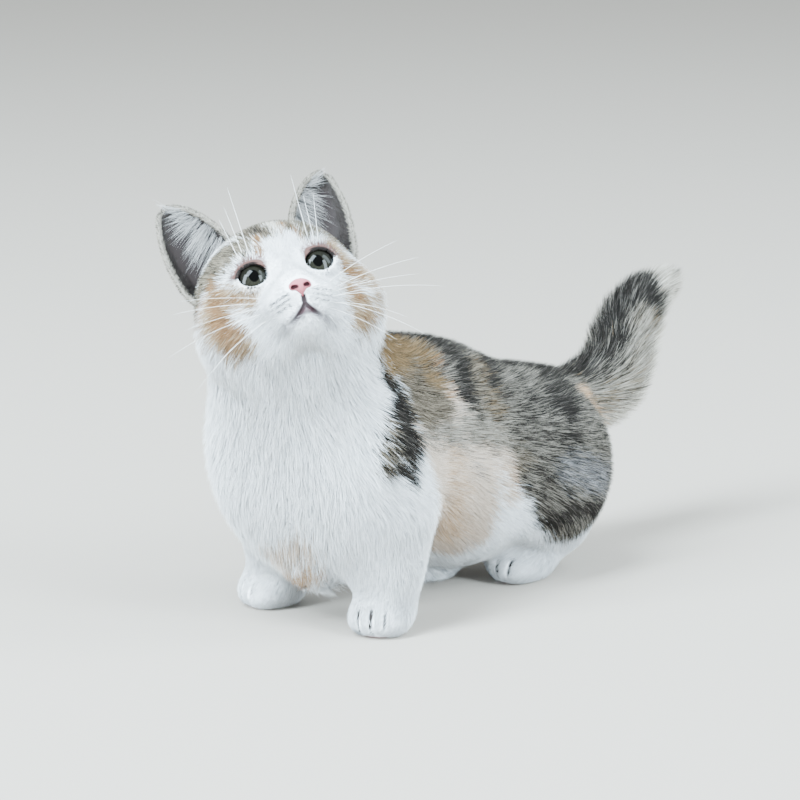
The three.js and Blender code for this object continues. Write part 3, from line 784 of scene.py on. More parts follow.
# Markings of the body, laid over white one after the other: kind, ends, radii, strength, softness.
BODY_MARKS = [
    # cream flanks, and painted shade in cream and peach low on the chest between the forelegs
    ("cream", (38, 37, 84), (34, 46, 32), 27, 21, 1.0, 9),
    ("peach", (40, 33, 78), (31, 46, 34), 6, 8, 0.65, 9),
    # painted shade: cream and peach low on the chest, between the forelegs
    ("cream", (12, -27, 36), (-8, -24, 26), 7, 9, 0.7, 9),
    ("peach", (14, -19, 24), (-4, -16, 18), 4, 5, 0.8, 6),
    # the right flank's cream
    ("cream", (-44, 34, 88), (-40, 46, 34), 24, 18, 0.9, 9),
    # the golden, ticked saddle of the shoulders
    ("grey", (43, 18, 84), (40, 48, 78), 8, 8, 0.8, 9),
    ("grizzle", (30, 22, 110), (40, 20, 92), 16, 9, 1.0, 7),
    ("grizzle", (30, 34, 104), (36, 32, 93), 9, 9, 1.0, 6),
    ("tan", (6, 30, 122), (34, 6, 116), 21, 10, 0.85, 8),
    ("tan", (14, 46, 112), (28, 38, 102), 9, 7, 0.8, 6),
    ("tan", (-20, 40, 112), (-46, 58, 76), 26, 18, 1.0, 8),
    # the grey back and haunches
    ("pepper", (5, 62, 100), (8, 150, 72), 31, 32, 1.0, 6),
    ("pepper", (36, 72, 90), (45, 120, 48), 19, 32, 1.0, 7),
    ("pepper", (42, 92, 66), (44, 112, 40), 22, 22, 1.0, 6),
    ("pepper", (-30, 96, 84), (-32, 124, 46), 22, 33, 1.0, 7),
    ("pepper", (-10, 64, 110), (-34, 74, 86), 14, 12, 1.0, 6),
    ("grizzle", (22, 70, 98), (39, 64, 77), 10, 9, 0.75, 7),
    ("grizzle", (40, 58, 76), (44, 78, 62), 5, 7, 0.7, 6),
    ("grey", (37, 49, 86), (41, 70, 70), 6.5, 7, 0.75, 7),
    ("tan", (20, 76, 98), (34, 70, 86), 6, 7, 0.25, 7),
    ("tan", (2, 32, 120), (15, 42, 112), 11, 9, 0.8, 7),
    ("orange", (20, 46, 105), (31, 43, 93), 3, 3.5, 0.6, 4),
    # the dark band of the left shoulder and its feathered edge
    ("grizzle", (43, -2, 90), (45, -8, 74), 4.5, 6.5, 0.8, 5),
    ("pepper", (44, 0, 86), (46, -6, 73), 3, 4.5, 0.6, 5),
    ("dark", (38, -10, 126), (34, -2, 114), 2.4, 3, 0.95, 2),
    ("dark", (34, -2, 114), (37, 3, 104), 3, 4, 1.0, 2.5),
    ("dark", (37, 3, 104), (42, 4.5, 94), 4, 6, 1.0, 3),
    ("dark", (42, 4.5, 94), (46, 5, 80), 6, 6, 1.0, 3),
    ("dark", (46, 5, 80), (49, 3, 66), 6, 3, 1.0, 3),
    ("dark", (43, 0, 93), (40, -9, 95), 2, 0.6, 0.8, 1.5),
    ("dark", (45, 0, 84), (43, -12, 85), 2.2, 0.6, 0.8, 1.5),
    ("dark", (46, 0, 77), (43.5, -14, 78), 2.2, 0.6, 0.8, 1.5),
    ("dark", (48, 0, 70), (43.6, -15, 74), 2.6, 0.8, 0.9, 1.5),
    ("dark", (48, -2, 65), (42.5, -17, 68), 1.0, 0.7, 0.6, 1.5),
    ("dark", (-30, 2, 120), (-48, 12, 92), 8, 9, 1.0, 4),
    ("dark", (-48, 12, 92), (-53, 8, 66), 9, 6, 1.0, 4),
    # dark along the spine and in patches down from it
    ("dark", (-6, 8, 129), (0, 60, 115), 7, 7.5, 0.9, 5),
    ("dark", (4, 60, 111), (22, 60, 102), 8, 7, 0.9, 4),
    ("dark", (22, 60, 102), (34, 51, 93), 6, 5, 0.85, 3),
    ("dark", (34, 51, 93), (38, 56, 84), 5, 3, 0.6, 3),
    ("dark", (12, 90, 99), (27, 76, 93), 6, 5, 0.75, 4),
    ("dark", (-10, 56, 112), (-40, 72, 84), 7, 6, 0.85, 5),
    ("dark", (6, 70, 108), (8, 146, 86), 7, 9, 0.6, 6),
    ("dark", (32, 96, 86), (36, 99, 82), 5, 5, 0.6, 4),
    ("dark", (14, 130, 90), (37, 113, 80), 10, 8, 0.75, 6),
    ("dark", (37, 113, 80), (45, 110, 62), 8, 6, 0.6, 5),
    ("dark", (-16, 112, 90), (-30, 130, 66), 8, 9, 0.75, 6),
    ("dark", (43, 92, 29), (47, 108, 31), 4, 5.5, 0.85, 4),
    ("dark", (47, 108, 31), (44, 132, 30), 5.5, 5, 0.8, 4),
    ("dark", (-36, 100, 26), (-34, 132, 24), 3, 5, 0.85, 4),
    ("silver", (48, 106, 53), (46, 130, 44), 9, 8, 0.7, 9),
    ("silver", (42, 51, 66), (42, 56, 54), 2.5, 2.5, 0.55, 4),
    ("peach", (27, 142, 79), (20, 149, 70), 4, 6, 1.0, 5),
    ("orange", (27, 143, 78), (24, 146, 73), 1.5, 2, 0.6, 4),
    ("cream", (43, 68, 64), (42, 73, 45), 4.5, 4.5, 0.8, 5),
    ("orange", (43, 70, 60), (42, 74, 48), 2.5, 2.5, 0.35, 4),
    ("brown", (40, 76, 24), (42, 80, 24), 1, 2, 0.7, 3),
    # white legs and belly
    ("white", (33, 5, 46), (32, 2, 4), 17, 16, 1.0, 3),
    ("white", (-31, 5, 46), (-31, 2, 4), 19, 16, 1.0, 4),
    ("white", (30, 132, 8), (20, 90, 6), 16, 16, 1.0, 4),
    ("white", (-14, 132, 8), (-6, 70, 6), 16, 16, 1.0, 4),
    ("white", (0, 130, 30), (0, 40, 6), 12, 16, 1.0, 6),
]
# Markings of the head, in its own frame, given in the same way.
HEAD_MARKS = [
    ("pale", (0, -12, 27), (0, 20, 34), 14, 18, 0.85, 8),
    ("tick", (0, 6, 34), (0, 34, 16), 20, 26, 1, 9),
    ("tick", (-14, -17, 16), (-26, -8, 16), 7, 10, 1, 7),
    ("tick", (17, -15, 16), (26, -6, 16), 5, 8, 0.9, 6),
    ("grizzle", (-6, 0, 36), (-12, 34, 18), 3.5, 5, 1, 3),
    ("grizzle", (5, 0, 36), (10, 34, 18), 3.5, 5, 1, 3),
    ("dark", (-4, -13, 30), (-7, -4, 35), 2.6, 4, 0.9, 3),
    ("dark", (-11, -12, 27), (-14, -4, 31), 1.2, 2, 0.75, 2),
    ("dark", (8, -16, 26), (8, -6, 33), 1.2, 2.5, 0.75, 2.5),
    ("grizzle", (-3, -22, 19), (-9, -14, 26), 3.2, 4.5, 1.0, 4),
    ("dark", (-4.5, -20.5, 20.5), (-8, -14, 26), 1.0, 1.6, 0.8, 2.5),
    ("grizzle", (6.5, -21.5, 19), (6, -14, 27), 2, 3, 0.9, 3),
    ("tick", (12, -21, 14), (14, -14, 22), 4, 6, 0.9, 5),
    ("ginger", (-8.5, -25, 9), (-8, -21, 17), 1.4, 2.4, 0.8, 2.8),
    ("ginger", (3.2, -23, 16), (4, -18, 22), 1.2, 1.9, 0.72, 2.5),
    ("ginger", (8.8, -24, 10), (9, -19, 19), 1.2, 1.9, 0.72, 2.5),
    ("tick", (-30, 4, 12), (-34, 12, 0), 8, 8, 1, 6),
    ("tick", (30, 4, 12), (34, 12, 0), 8, 8, 1, 6),
    # cream washes of the cheeks, with orange bands in them
    ("wash", (-30, -10, -2), (-18, -22, -8), 8.4, 4.8, 0.85, 6),
    ("wash", (-32, -12, -10), (-29, -14, -26), 9.6, 8.4, 0.9, 7),
    ("wash", (24, -17, 6), (31, -12, -8), 7.2, 9.6, 0.8, 6),
    ("wash", (31, -6, -16), (27, -12, -26), 8.4, 6, 0.8, 6),
    ("ginger", (-29, -8, 8), (-31, -14, -1), 3.1, 3.6, 0.72, 5.6),
    ("ginger", (-31, -14, -1), (-33, -17, -13), 3.6, 4.3, 0.8, 5.6),
    ("ginger", (-33, -17, -13), (-30, -14, -24), 4.3, 4.1, 0.8, 5.6),
    ("ginger", (-30, -16, -5), (-18, -23, -8.5), 2.6, 1.9, 0.68, 4.2),
    ("ginger", (-29, -18, -13), (-25, -18, -20), 1.9, 2.2, 0.8, 3.5),
    ("brown", (-21, -22, -13), (-17, -24, -16), 0.8, 0.6, 0.6, 1.5),
    ("ginger", (20, -18, 7), (27, -19, -5), 2.4, 3.1, 0.76, 4.2),
    ("ginger", (27, -18, -6), (30, -10, -12), 3.1, 4.8, 0.6, 7),
    ("wash", (23, -21, -13), (27, -17, -24), 4, 6, 0.9, 5),
    ("ginger", (24, -21.5, -14), (27, -19, -17), 2.6, 2.6, 0.85, 3),
    ("ginger", (26, -14, -24), (30, -6, -22), 3, 4.1, 0.6, 5.6),
    ("ginger", (34, 0, -2), (34, 2, -16), 4.8, 4.8, 0.64, 7),
    ("ginger", (-35, 0, 2), (-35, 0, -16), 4.8, 4.8, 0.64, 7),
    ("dark", (-36, 9, 13), (-37, 11, 5), 2.4, 2.4, 1, 1.5),
]


def ripple(p, size, seed, count=7):
    """A smooth random wave of about the given size, between -1 and 1."""
    rng = np.random.default_rng(seed)
    total = np.zeros(len(p))
    for _ in range(count):
        way = rng.normal(size=3)
        way *= 2 * pi / size / np.linalg.norm(way) * rng.uniform(0.6, 1.4)
        total += np.sin(p @ way + rng.uniform(0, 2 * pi))
    return total / count * 1.6


def grow(weight, kind, cover):
    weight *= 1 - cover[:, None]
    weight[:, NAMES.index(kind)] += cover


def lay(weight, marks, p):
    for kind, a, b, ra, rb, strength, soft in marks:
        grow(weight, kind, strength * np.clip(0.5 - taper(a, b, ra, rb)(p) / soft, 0, 1))


def tail_kinds(weight, p):
    """The tail: ticked, dark along its upper side, pale along its lower, a dark band before a pale tip."""
    track = np.array([place for place, _ in TAIL_STEPS])
    size = np.array([radius for _, radius in TAIL_STEPS])
    apart = np.sqrt(((p[:, None] - track[None]) ** 2).sum(2))
    nearest = apart.argmin(1)
    on_tail = (apart.min(1) < size[nearest] + 10) & (p[:, 1] > 148)
    way = np.gradient(track, axis=0)
    way /= np.linalg.norm(way, axis=1)[:, None]
    out = (p - track[nearest]) / size[nearest][:, None]
    top = np.cross(np.array([1.0, 0, 0]), way[nearest])
    high = (out * top).sum(1)
    t = nearest / 20 + ((p - track[nearest]) * way[nearest]).sum(1) / 110
    for kind, cover in [
        ("grey", on_tail * 1.0),
        ("grizzle", on_tail * 0.7 * np.clip(ripple(p, 10, 61) + 0.35, 0, 1)),
        ("tan", on_tail * 0.45 * np.clip(ripple(p, 12, 62), 0, 1)),
        ("pale", on_tail * np.clip(-0.15 - high * 1.6, 0, 1) * 0.85),
        ("pepper", on_tail * np.clip(high * 3 - 1.2, 0, 1) * 0.75),
        ("dark", on_tail * np.clip(high * 4 - 3.2, 0, 1)),
        ("peach", on_tail * np.clip(1.6 - np.abs(t - 0.14) * 14, 0, 1) * np.clip(0.35 - high, 0, 1)),
        ("dark", on_tail * np.clip(1.5 - np.abs(t - 0.77) * 13, 0, 1) * np.clip(0.75 + high * 0.6, 0, 1)),
        ("pale", on_tail * np.clip((t - 0.84) * 14, 0, 1)),
        ("grey", on_tail * np.clip((t - 0.84) * 14, 0, 1) * 0.45),
    ]:
        grow(weight, kind, cover)


def waves(p, size, seed):
    return np.stack([ripple(p, size, seed + n) for n in range(3)], 1)


def markings(p):
    """How much of each kind of coat grows at places of the skin."""
    warp = waves(p, 11, 40) * 1.8
    warp += waves(p, 4, 50) * 0.8
    p = p + warp
    q = to_head(p - warp * 0.55)
    weight = np.zeros((len(p), len(NAMES)))
    weight[:, 0] = 1
    lay(weight, BODY_MARKS, p)
    tail_kinds(weight, p)
    near = np.flatnonzero(head(q) < 6)
    near = near[np.abs(q[near, 0]) < 50]
    part = weight[near]
    mine = np.clip(1.2 - head(q[near]) / 8, 0, 1)[:, None]
    bare = np.zeros_like(part)
    bare[:, 0] = 1
    lay(bare, HEAD_MARKS, q[near])
    weight[near] = part * (1 - mine) + bare * mine
    return weight


def ear_kinds(weight, q):
    """Ears: the dark down inside them is painted shade in the cup; a pale rim, ticked behind and dark at
    the tip.
    """
    for side in (1, -1):
        apart, behind = ear_parts(q, side)
        on = np.flatnonzero(apart < 1.8)
        rim = near_line(q[on], EAR_EDGES[side])
        back = behind[on] > 0
        up = (q[on] - EAR_OUTER * (side, 1, 1)) @ unit(((EAR_TIP - EAR_OUTER) * (side, 1, 1))[None])[0]
        share = np.zeros((len(on), len(NAMES)))
        # painted shade: the ear's inner side takes the near-black down
        share[:, NAMES.index("down")] = ~back
        share[:, NAMES.index("tick")] = back * 0.6
        share[:, NAMES.index("dark")] = back * np.where(up > 34, 0.9, 0.25)
        pale = np.clip((1.5 - rim) / 0.6, 0, 1)[:, None] * 0.75
        share *= 1 - pale
        share[:, NAMES.index("grey")] += pale[:, 0]
        weight[on] = share / share.sum(1)[:, None]


# The colour of the skin under each kind of coat
MEAN = np.array(
    [
        sum(w * (linear(*root) * 0.55 + linear(*tip) * 0.45) for root, tip, w in rows)
        for rows in KINDS.values()
    ]
)

# Materials
def node_material(name):
    material = bpy.data.materials.new(name)
    material.use_nodes = True
    nodes, links = material.node_tree.nodes, material.node_tree.links
    shader = nodes["Principled BSDF"]

    def add(kind, **values):
        """A node with some of its properties and sockets set; _ is a space in a socket's name."""
        made = nodes.new(kind)
        for key, value in values.items():
            if hasattr(made, key):
                setattr(made, key, value)
            else:
                made.inputs[key.replace("_", " ")].default_value = value
        return made

    def wire(a, output, b, socket):
        links.new(a.outputs[output], b.inputs[socket])

    return material, shader, add, wire


def set_values(shader, **values):
    for key, value in values.items():
        shader.inputs[key.replace("_", " ")].default_value = value


LET_THROUGH = 0.3


def coat_material(name, shade, bump):
    """Painted tint, varied by a fine noise, with a relief or, for hair, light let through."""
    material, shader, add, wire = node_material(name)
    tint = add("ShaderNodeAttribute", attribute_name="tint")
    place = add("ShaderNodeTexCoord")
    grain = add("ShaderNodeTexNoise", Scale=900, Detail=2)
    ramp = add("ShaderNodeMapRange", To_Min=1 - shade, To_Max=1 + shade * 0.4)
    mix = add("ShaderNodeVectorMath", operation="MULTIPLY")
    wire(place, "Object", grain, "Vector")
    wire(grain, "Fac", ramp, "Value")
    wire(tint, "Color", mix, 0)
    wire(ramp, "Result", mix, 1)
    wire(mix, 0, shader, "Base Color")
    if bump:
        relief = add("ShaderNodeBump", Strength=bump, Distance=0.0004)
        wire(grain, "Fac", relief, "Height")
        wire(relief, "Normal", shader, "Normal")
    else:
        through = add("ShaderNodeBsdfTranslucent")
        wire(mix, 0, through, "Color")
        both = add("ShaderNodeMixShader")
        both.inputs[0].default_value = LET_THROUGH
        wire(shader, 0, both, 1)
        wire(through, 0, both, 2)
        wire(both, 0, material.node_tree.nodes["Material Output"], "Surface")
    return material, shader


fur, fur_shader = coat_material("fur", 0.1, 0)
set_values(fur_shader, Roughness=0.6, Specular_IOR_Level=0.06)
hide, hide_shader = coat_material("hide", 0.15, 0.5)
set_values(hide_shader, Roughness=0.65, Specular_IOR_Level=0.12)


# Skin
# painted shade along the mouth's line
MOUTH_SHADE = (92, 79, 83)
LID_BROWN = (112, 80, 74)
CORNER_BROWN = (32, 21, 19)
SPECK_GREY = (62, 58, 60)
LID_EDGE = (18, 12, 10)
LIP_EDGE = (62, 42, 47)
LIP_LINE = (30, 18, 19)
# painted shade in the ears' hollows
EAR_CUP_SHADE = (38, 31, 30)
# painted shade between the toes
TOE_GAP_SHADE = (36, 29, 27)
# painted shade inside the nostrils
NOSTRIL_SHADE = (30, 6, 9)
SOLE_PINK = (150, 96, 90)
WHISKER_SPOTS = on_face(
    *np.array([(5.2 + 2.1 * c, -15.2 - 2.1 * r - 0.5 * c) for r in range(3) for c in range(4)]).T
)


def accents(colour, q, dim=1.0):
    """Tints of the face: a purplish grey painted shade along the mouth, brown over the eyes and in their
    corners, and dark specks at the whiskers' roots."""
    near = np.flatnonzero((q[:, 1] < -6) & (np.abs(q[:, 0]) < 27) & (np.abs(q[:, 2] + 8) < 26))
    face_q, tinted = q[near], colour[near]
    mouth = near_lines(face_q, MOUTH_LINES)
    # painted shade along the mouth's line, wider below the philtrum and fading towards its ends
    wide = np.clip((-19.4 - face_q[:, 2]) / 2.5, 0, 1)
    mouth_shade = np.clip((1.4 + 1.5 * wide - mouth) / (0.6 + 1.4 * wide), 0, 1) * mouth_fade(face_q)
    tinted = over(tinted, mouth_shade, MOUTH_SHADE, dim)
    for side in (1, -1):
        edge = near_line(face_q, LID_LINES[side], closed=True)
        local = eye_local(face_q, side)
        above = np.clip(local[:, 2] / 2.2, 0, 1)
        tinted = over(tinted, (3.5 - edge) / 1.4 * above, LID_BROWN, dim)
        corner = LID_LINES[side][np.argmin(LID_LINES[side][:, 0] * side)]
        tinted = over(tinted, 2.6 - np.linalg.norm(face_q - corner, axis=1), CORNER_BROWN, dim)
        specks = WHISKER_SPOTS * (side, 1, 1)
        apart = np.min([np.linalg.norm(face_q - speck, axis=1) for speck in specks], axis=0)
        tinted = over(tinted, (0.95 - apart) / 0.3, SPECK_GREY, dim)
    colour[near] = tinted
    return colour


def skin_tint(p):
    """The skin's colours: the coat's markings and the face's accents, bare lids, lips and soles, and
    painted shade in the nostrils, in the ears' hollows and between the toes.
    """
    q = to_head(p)
    weight = markings(p)
    ear_kinds(weight, q)
    # the face's accents at half strength, with the painted shade along the mouth
    colour = accents(weight @ MEAN, q, 0.5)
    for side in (1, -1):
        edge = near_line(q, LID_LINES[side], closed=True)
        local = eye_local(q, side)
        cover = (0.75 + 0.5 * (local[:, 2] > 0) - edge) / 0.3 * (local[:, 1] < -2)
        colour = over(colour, cover, LID_EDGE)
    lip = near_lines(q, MOUTH_LINES)
    colour = over(colour, (0.5 - ellipsoid(LOWER_LIP, LIP_RADII)(q)) / 0.5, LIP_EDGE)
    colour = over(colour, (0.9 - lip) / 0.4 * mouth_fade(q), LIP_LINE)
    # painted shade in the ears' hollows
    colour = over(colour, (1.1 - ear_hollow(q)) / 0.5, EAR_CUP_SHADE)
    # painted shade in the gaps between the toes
    toes = near_lines(p, TOE_LINES)
    colour = over(colour, (1.2 - toes) / 0.4, TOE_GAP_SHADE)
    # painted shade inside the nostrils
    for s in (1, -1):
        a, b, ra, rb = NOSTRIL[0](s)
        colour = over(colour, (0.8 - taper(NOSE + a, NOSE + b, ra, rb)(q)) / 0.2, NOSTRIL_SHADE)
    return over(colour, (1.2 - p[:, 2]) / 0.8, SOLE_PINK)


xs = lines(-59, 1.0, 40, 2.0, 56)
ys = lines(-70, 1.0, 23, 2.2, 232)
zs = lines(-2.2, 1.1, 15, 2.2, 105, 1.0, 190)
vertex, quads = net(skin_field, xs, ys, zs)
skin_mesh = new_mesh("skin", settle(skin_field, vertex), quads)


def refine(mesh, wanted):
    """Splits the edges whose two ends are wanted, and settles the new places on the skin."""
    p = places_of(mesh)
    chosen = wanted(to_head(p))
    bm = bmesh.new()
    bm.from_mesh(mesh)
    bm.verts.ensure_lookup_table()
    edges = [e for e in bm.edges if chosen[e.verts[0].index] and chosen[e.verts[1].index]]
    bmesh.ops.subdivide_edges(bm, edges=edges, cuts=1, use_grid_fill=True)
    bmesh.ops.triangulate(bm, faces=[f for f in bm.faces if len(f.verts) > 4])
    bm.to_mesh(mesh)
    bm.free()
    p = places_of(mesh)
    chosen = wanted(to_head(p))
    p[chosen] = settle(skin_field, p[chosen])
    set_places(mesh, p)
    mesh.update()


def about_face(q):
    eyes = np.min([np.sqrt(((q - eye_at(s)) ** 2).sum(1)) for s in (1, -1)], axis=0)
    muzzle = np.sqrt(((q - (0, -30, -20)) ** 2).sum(1))
    return ((eyes < 11.5) & (q[:, 1] < -10)) | (muzzle < 17)


def about_edges(q):
    lids = np.min([near_line(q, LID_LINES[s], closed=True) for s in (1, -1)], axis=0)
    lips = near_lines(q, MOUTH_LINES)
    return (lids < 2.2) | (lips < 2.2)


refine(skin_mesh, about_face)
refine(skin_mesh, about_edges)
skin_mesh.polygons.foreach_set("use_smooth", np.ones(len(skin_mesh.polygons), bool))
skin = new_object("skin", skin_mesh, hide)
skin_places = places_of(skin_mesh)
paint(skin_mesh, skin_tint(skin_places))
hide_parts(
    "head",
    "neck",
    "torso",
    "ear_left",
    "ear_right",
    "foreleg_left",
    "foreleg_right",
    "hindleg_left",
    "hindleg_right",
    "tail_base",
    "tail_end",
)
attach(skin, "root")


# Eyes
PUPIL_EDGE = (0.285, 0.3)
PUPIL_SQUEEZE = 1.25
# Colours of the iris from its middle out
IRIS = [
    (0.0, (21, 21, 17)),
    (0.34, (23, 22, 17)),
    (0.46, (20, 19, 14)),
    (0.56, (15, 14, 10)),
    (0.62, (10, 9, 7)),
    (0.68, (5, 5, 4)),
    (0.8, (4, 4, 3)),
]


def eye_material():
    material, shader, add, wire = node_material("eye")
    gaze = add("ShaderNodeAttribute", attribute_name="gaze")
    parts = add("ShaderNodeSeparateXYZ")
    wire(gaze, "Vector", parts, "Vector")
    # the pupil is upright and oval
    squeeze = add("ShaderNodeMath", operation="MULTIPLY")
    squeeze.inputs[1].default_value = PUPIL_SQUEEZE
    wire(parts, "X", squeeze, 0)
    oval = add("ShaderNodeCombineXYZ")
    wire(squeeze, 0, oval, "X")
    wire(parts, "Z", oval, "Z")
    far = add("ShaderNodeVectorMath", operation="LENGTH")
    wire(oval, 0, far, 0)
    pupil = add("ShaderNodeValToRGB")
    for element, place, grey in zip(pupil.color_ramp.elements, PUPIL_EDGE, (0, 1)):
        element.position = place
        element.color = (grey, grey, grey, 1)
    wire(far, "Value", pupil, "Fac")
    flat = add("ShaderNodeCombineXYZ")
    wire(parts, "X", flat, "X")
    wire(parts, "Z", flat, "Z")
    radius = add("ShaderNodeVectorMath", operation="LENGTH")
    wire(flat, 0, radius, 0)
    iris = add("ShaderNodeValToRGB")
    ramp = iris.color_ramp
    while len(ramp.elements) < len(IRIS):
        ramp.elements.new(0.5)
    for element, (place, colour) in zip(ramp.elements, IRIS):
        element.position = place
        element.color = (*linear(*colour), 1)
    wire(radius, "Value", iris, "Fac")
    # fine rays across the iris
    ray = add("ShaderNodeVectorMath", operation="NORMALIZE")
    wire(flat, 0, ray, 0)
    rays = add("ShaderNodeTexNoise", Scale=9, Detail=4)
    wire(ray, 0, rays, "Vector")
    spread = add("ShaderNodeMapRange", From_Min=0.3, From_Max=0.7, To_Min=0.7, To_Max=1.25)
    wire(rays, "Fac", spread, "Value")
    tinted = add("ShaderNodeVectorMath", operation="MULTIPLY")
    wire(iris, "Color", tinted, 0)
    wire(spread, "Result", tinted, 1)
    seen = add("ShaderNodeVectorMath", operation="MULTIPLY")
    # light falls in from above and brightens the iris's lower side
    lit = add("ShaderNodeMapRange", From_Min=-0.5, From_Max=0.5, To_Min=1.7, To_Max=0.5)
    wire(parts, "Z", lit, "Value")
    glow = add("ShaderNodeVectorMath", operation="SCALE")
    wire(tinted, 0, glow, 0)
    wire(lit, "Result", glow, "Scale")
    wire(glow, 0, seen, 0)
    wire(pupil, "Color", seen, 1)
    wire(seen, 0, shader, "Base Color")
    set_values(shader, Roughness=0.4, Specular_IOR_Level=0.0)
    set_values(shader, Coat_Weight=1.0, Coat_Roughness=0.02, Coat_IOR=1.22)
    return material


# The kitten looks at the camera: its gaze in the head's own frame
GAZE = np.array([-0.05, -0.98, -0.04])
CORNEA_BULGE = 0.35
CORNEA_ANGLE = 0.72
glaze = eye_material()


def eyeball(name, side):
    across, rows = 64, 48
    a = np.linspace(0, 2 * pi, across, endpoint=False)
    polar = np.linspace(0, pi, rows + 1)[1:-1]
    gaze = GAZE / np.linalg.norm(GAZE)
    right = np.cross(gaze, (0, 0, 1.0))
    right /= np.linalg.norm(right)
    up = np.cross(right, gaze)
    basis = np.stack([right, -gaze, up])
    ring = np.stack(
        [
            np.outer(np.sin(polar), np.cos(a)),
            -np.outer(np.cos(polar), np.ones(across)),
            np.outer(np.sin(polar), np.sin(a)),
        ],
        -1,
    )
    ball = np.vstack([[(0, -1.0, 0)], ring.reshape(-1, 3), [(0, 1.0, 0)]])
    angle = np.arccos(np.clip(-ball[:, 1], -1, 1))
    bulge = CORNEA_BULGE * np.exp(-((angle / CORNEA_ANGLE) ** 4))
    q = (ball * (EYE_RADIUS - 0.1 + bulge)[:, None]) @ basis + eye_at(side)
    faces = []
    last = len(ball) - 1
    for n in range(across):
        m = (n + 1) % across
        faces.append((0, 1 + m, 1 + n))
        for row in range(rows - 2):
            i, j = 1 + row * across + n, 1 + row * across + m
            faces.extend([(i, j, j + across), (i, j + across, i + across)])
        bottom = 1 + (rows - 2) * across
        faces.append((bottom + n, bottom + m, last))
    mesh = new_mesh(name, from_head(q), np.array(faces))
    gaze_layer = mesh.attributes.new("gaze", "FLOAT_VECTOR", "POINT")
    gaze_layer.data.foreach_set("vector", ball.astype(np.float32).ravel())
    obj = new_object(name, mesh, glaze)
    bm = bmesh.new()
    bm.from_mesh(mesh)
    bmesh.ops.recalc_face_normals(bm, faces=bm.faces)
    bm.to_mesh(mesh)
    bm.free()
    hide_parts(name.replace("eyeball", "eye"))
    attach(obj, "root")


for name, side in SIDES.items():
    eyeball(f"eyeball_{name}", side)


# Nose leather
def nose_field(q):
    d = q - NOSE
    wide = 4.8 * np.clip((d[:, 2] + 4.5) / 6.2, 0.17, 1.0)
    body = np.sqrt((d[:, 0] / wide) ** 2 + (d[:, 1] / 3.2) ** 2 + (d[:, 2] / 3.8) ** 2)
    body = (body - 1) * 2.8
    for s in (1, -1):
        wing = ellipsoid((3.1 * s, 0.5, 0.2), (1.8, 2.4, 1.5))(d)
        body = join(body, wing, 1.1)
    for s in (1, -1):
        hole = np.minimum(*(taper(*NOSTRIL[n](s))(d) for n in (0, 1)))
        body = -join(-body, hole, 0.5)
    groove = taper((0, -3.5, -0.8), (0, -2.6, -4.6), 0.25, 0.38)(d)
    return -join(-body, groove, 0.5)


def nose_material():
    material, shader, add, wire = node_material("nose_leather")
    place = add("ShaderNodeTexCoord")
    pebble = add("ShaderNodeTexVoronoi", Scale=2200)
    wire(place, "Object", pebble, "Vector")
    tint = add("ShaderNodeAttribute", attribute_name="tint")
    noise = add("ShaderNodeTexNoise", Scale=500)
    wire(place, "Object", noise, "Vector")
    spread = add("ShaderNodeMapRange", To_Min=0.86, To_Max=1.1)
    wire(noise, "Fac", spread, "Value")
    mix = add("ShaderNodeVectorMath", operation="MULTIPLY")
    wire(tint, "Color", mix, 0)
    wire(spread, "Result", mix, 1)
    wire(mix, 0, shader, "Base Color")
    relief = add("ShaderNodeBump", Strength=0.35, Distance=0.0003)
    wire(pebble, "Distance", relief, "Height")
    wire(relief, "Normal", shader, "Normal")
    set_values(shader, Roughness=0.55, Specular_IOR_Level=0.05)
    return material


nose_vertex, nose_quads = net(
    nose_field,
    NOSE[0] + lines(-7.5, 0.3, 7.5),
    NOSE[1] + lines(-5, 0.3, 5),
    NOSE[2] + lines(-6.5, 0.3, 6.5),
)
nose_vertex = settle(nose_field, nose_vertex)
nose_mesh = new_mesh("nose_leather", from_head(nose_vertex), nose_quads)
nose_local = nose_vertex - NOSE
# painted shade darkens the nostrils' insides
shaded_hole = np.min([taper(*nostril(s))(nose_local) for s in (1, -1) for nostril in NOSTRIL], axis=0)
# painted light: the nose leather is lighter towards its top, where the light from above falls
upper = np.clip(nose_local[:, 2:] / 6 + 0.5, 0, 1)
nose_tint = linear(144, 78, 84) * (1 - upper) + linear(168, 98, 106) * upper
paint(nose_mesh, over(nose_tint, (0.35 - shaded_hole) / 0.25, NOSTRIL_SHADE))
nose = new_object("nose_leather", nose_mesh, nose_material())
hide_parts("nose")
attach(nose, "root")

# The coat
rng = np.random.default_rng(7)
BEND_AT = 0.45
# How wide a tuft is at each of its rings, from the root on; its tip is a point.
SPIKE, BENT = (1.0,), (0.85, 0.95)
LEGS = [f"{leg}_{side}" for leg in ("foreleg", "hindleg") for side in SIDES]
PARTS = ["trunk", "head", *LEGS, "tail", "ears", "chest"]


def part_of(p):
    """Which part of the body each place is on: an index into PARTS."""
    q = to_head(p)
    legs = [f(p) for f in (*forelegs.values(), *hindlegs.values())]
    part = np.argmin([trunk(p), head(q) - 0.5, *legs, tail(p) + 2], axis=0)
    on_ear = np.minimum(ear(q, 1), ear(q, -1)) < 0.6
    part[on_ear & (head(q) > -0.5)] = PARTS.index("ears")
    front = (part == 0) & ((p[:, 1] < 4) | (p[:, 2] > 118))
    part[front] = PARTS.index("chest")
    return part


def triangles_of(mesh):
    mesh.calc_loop_triangles()
    index = np.empty(len(mesh.loop_triangles) * 3, np.int32)
    mesh.loop_triangles.foreach_get("vertices", index)
    return index.reshape(-1, 3)


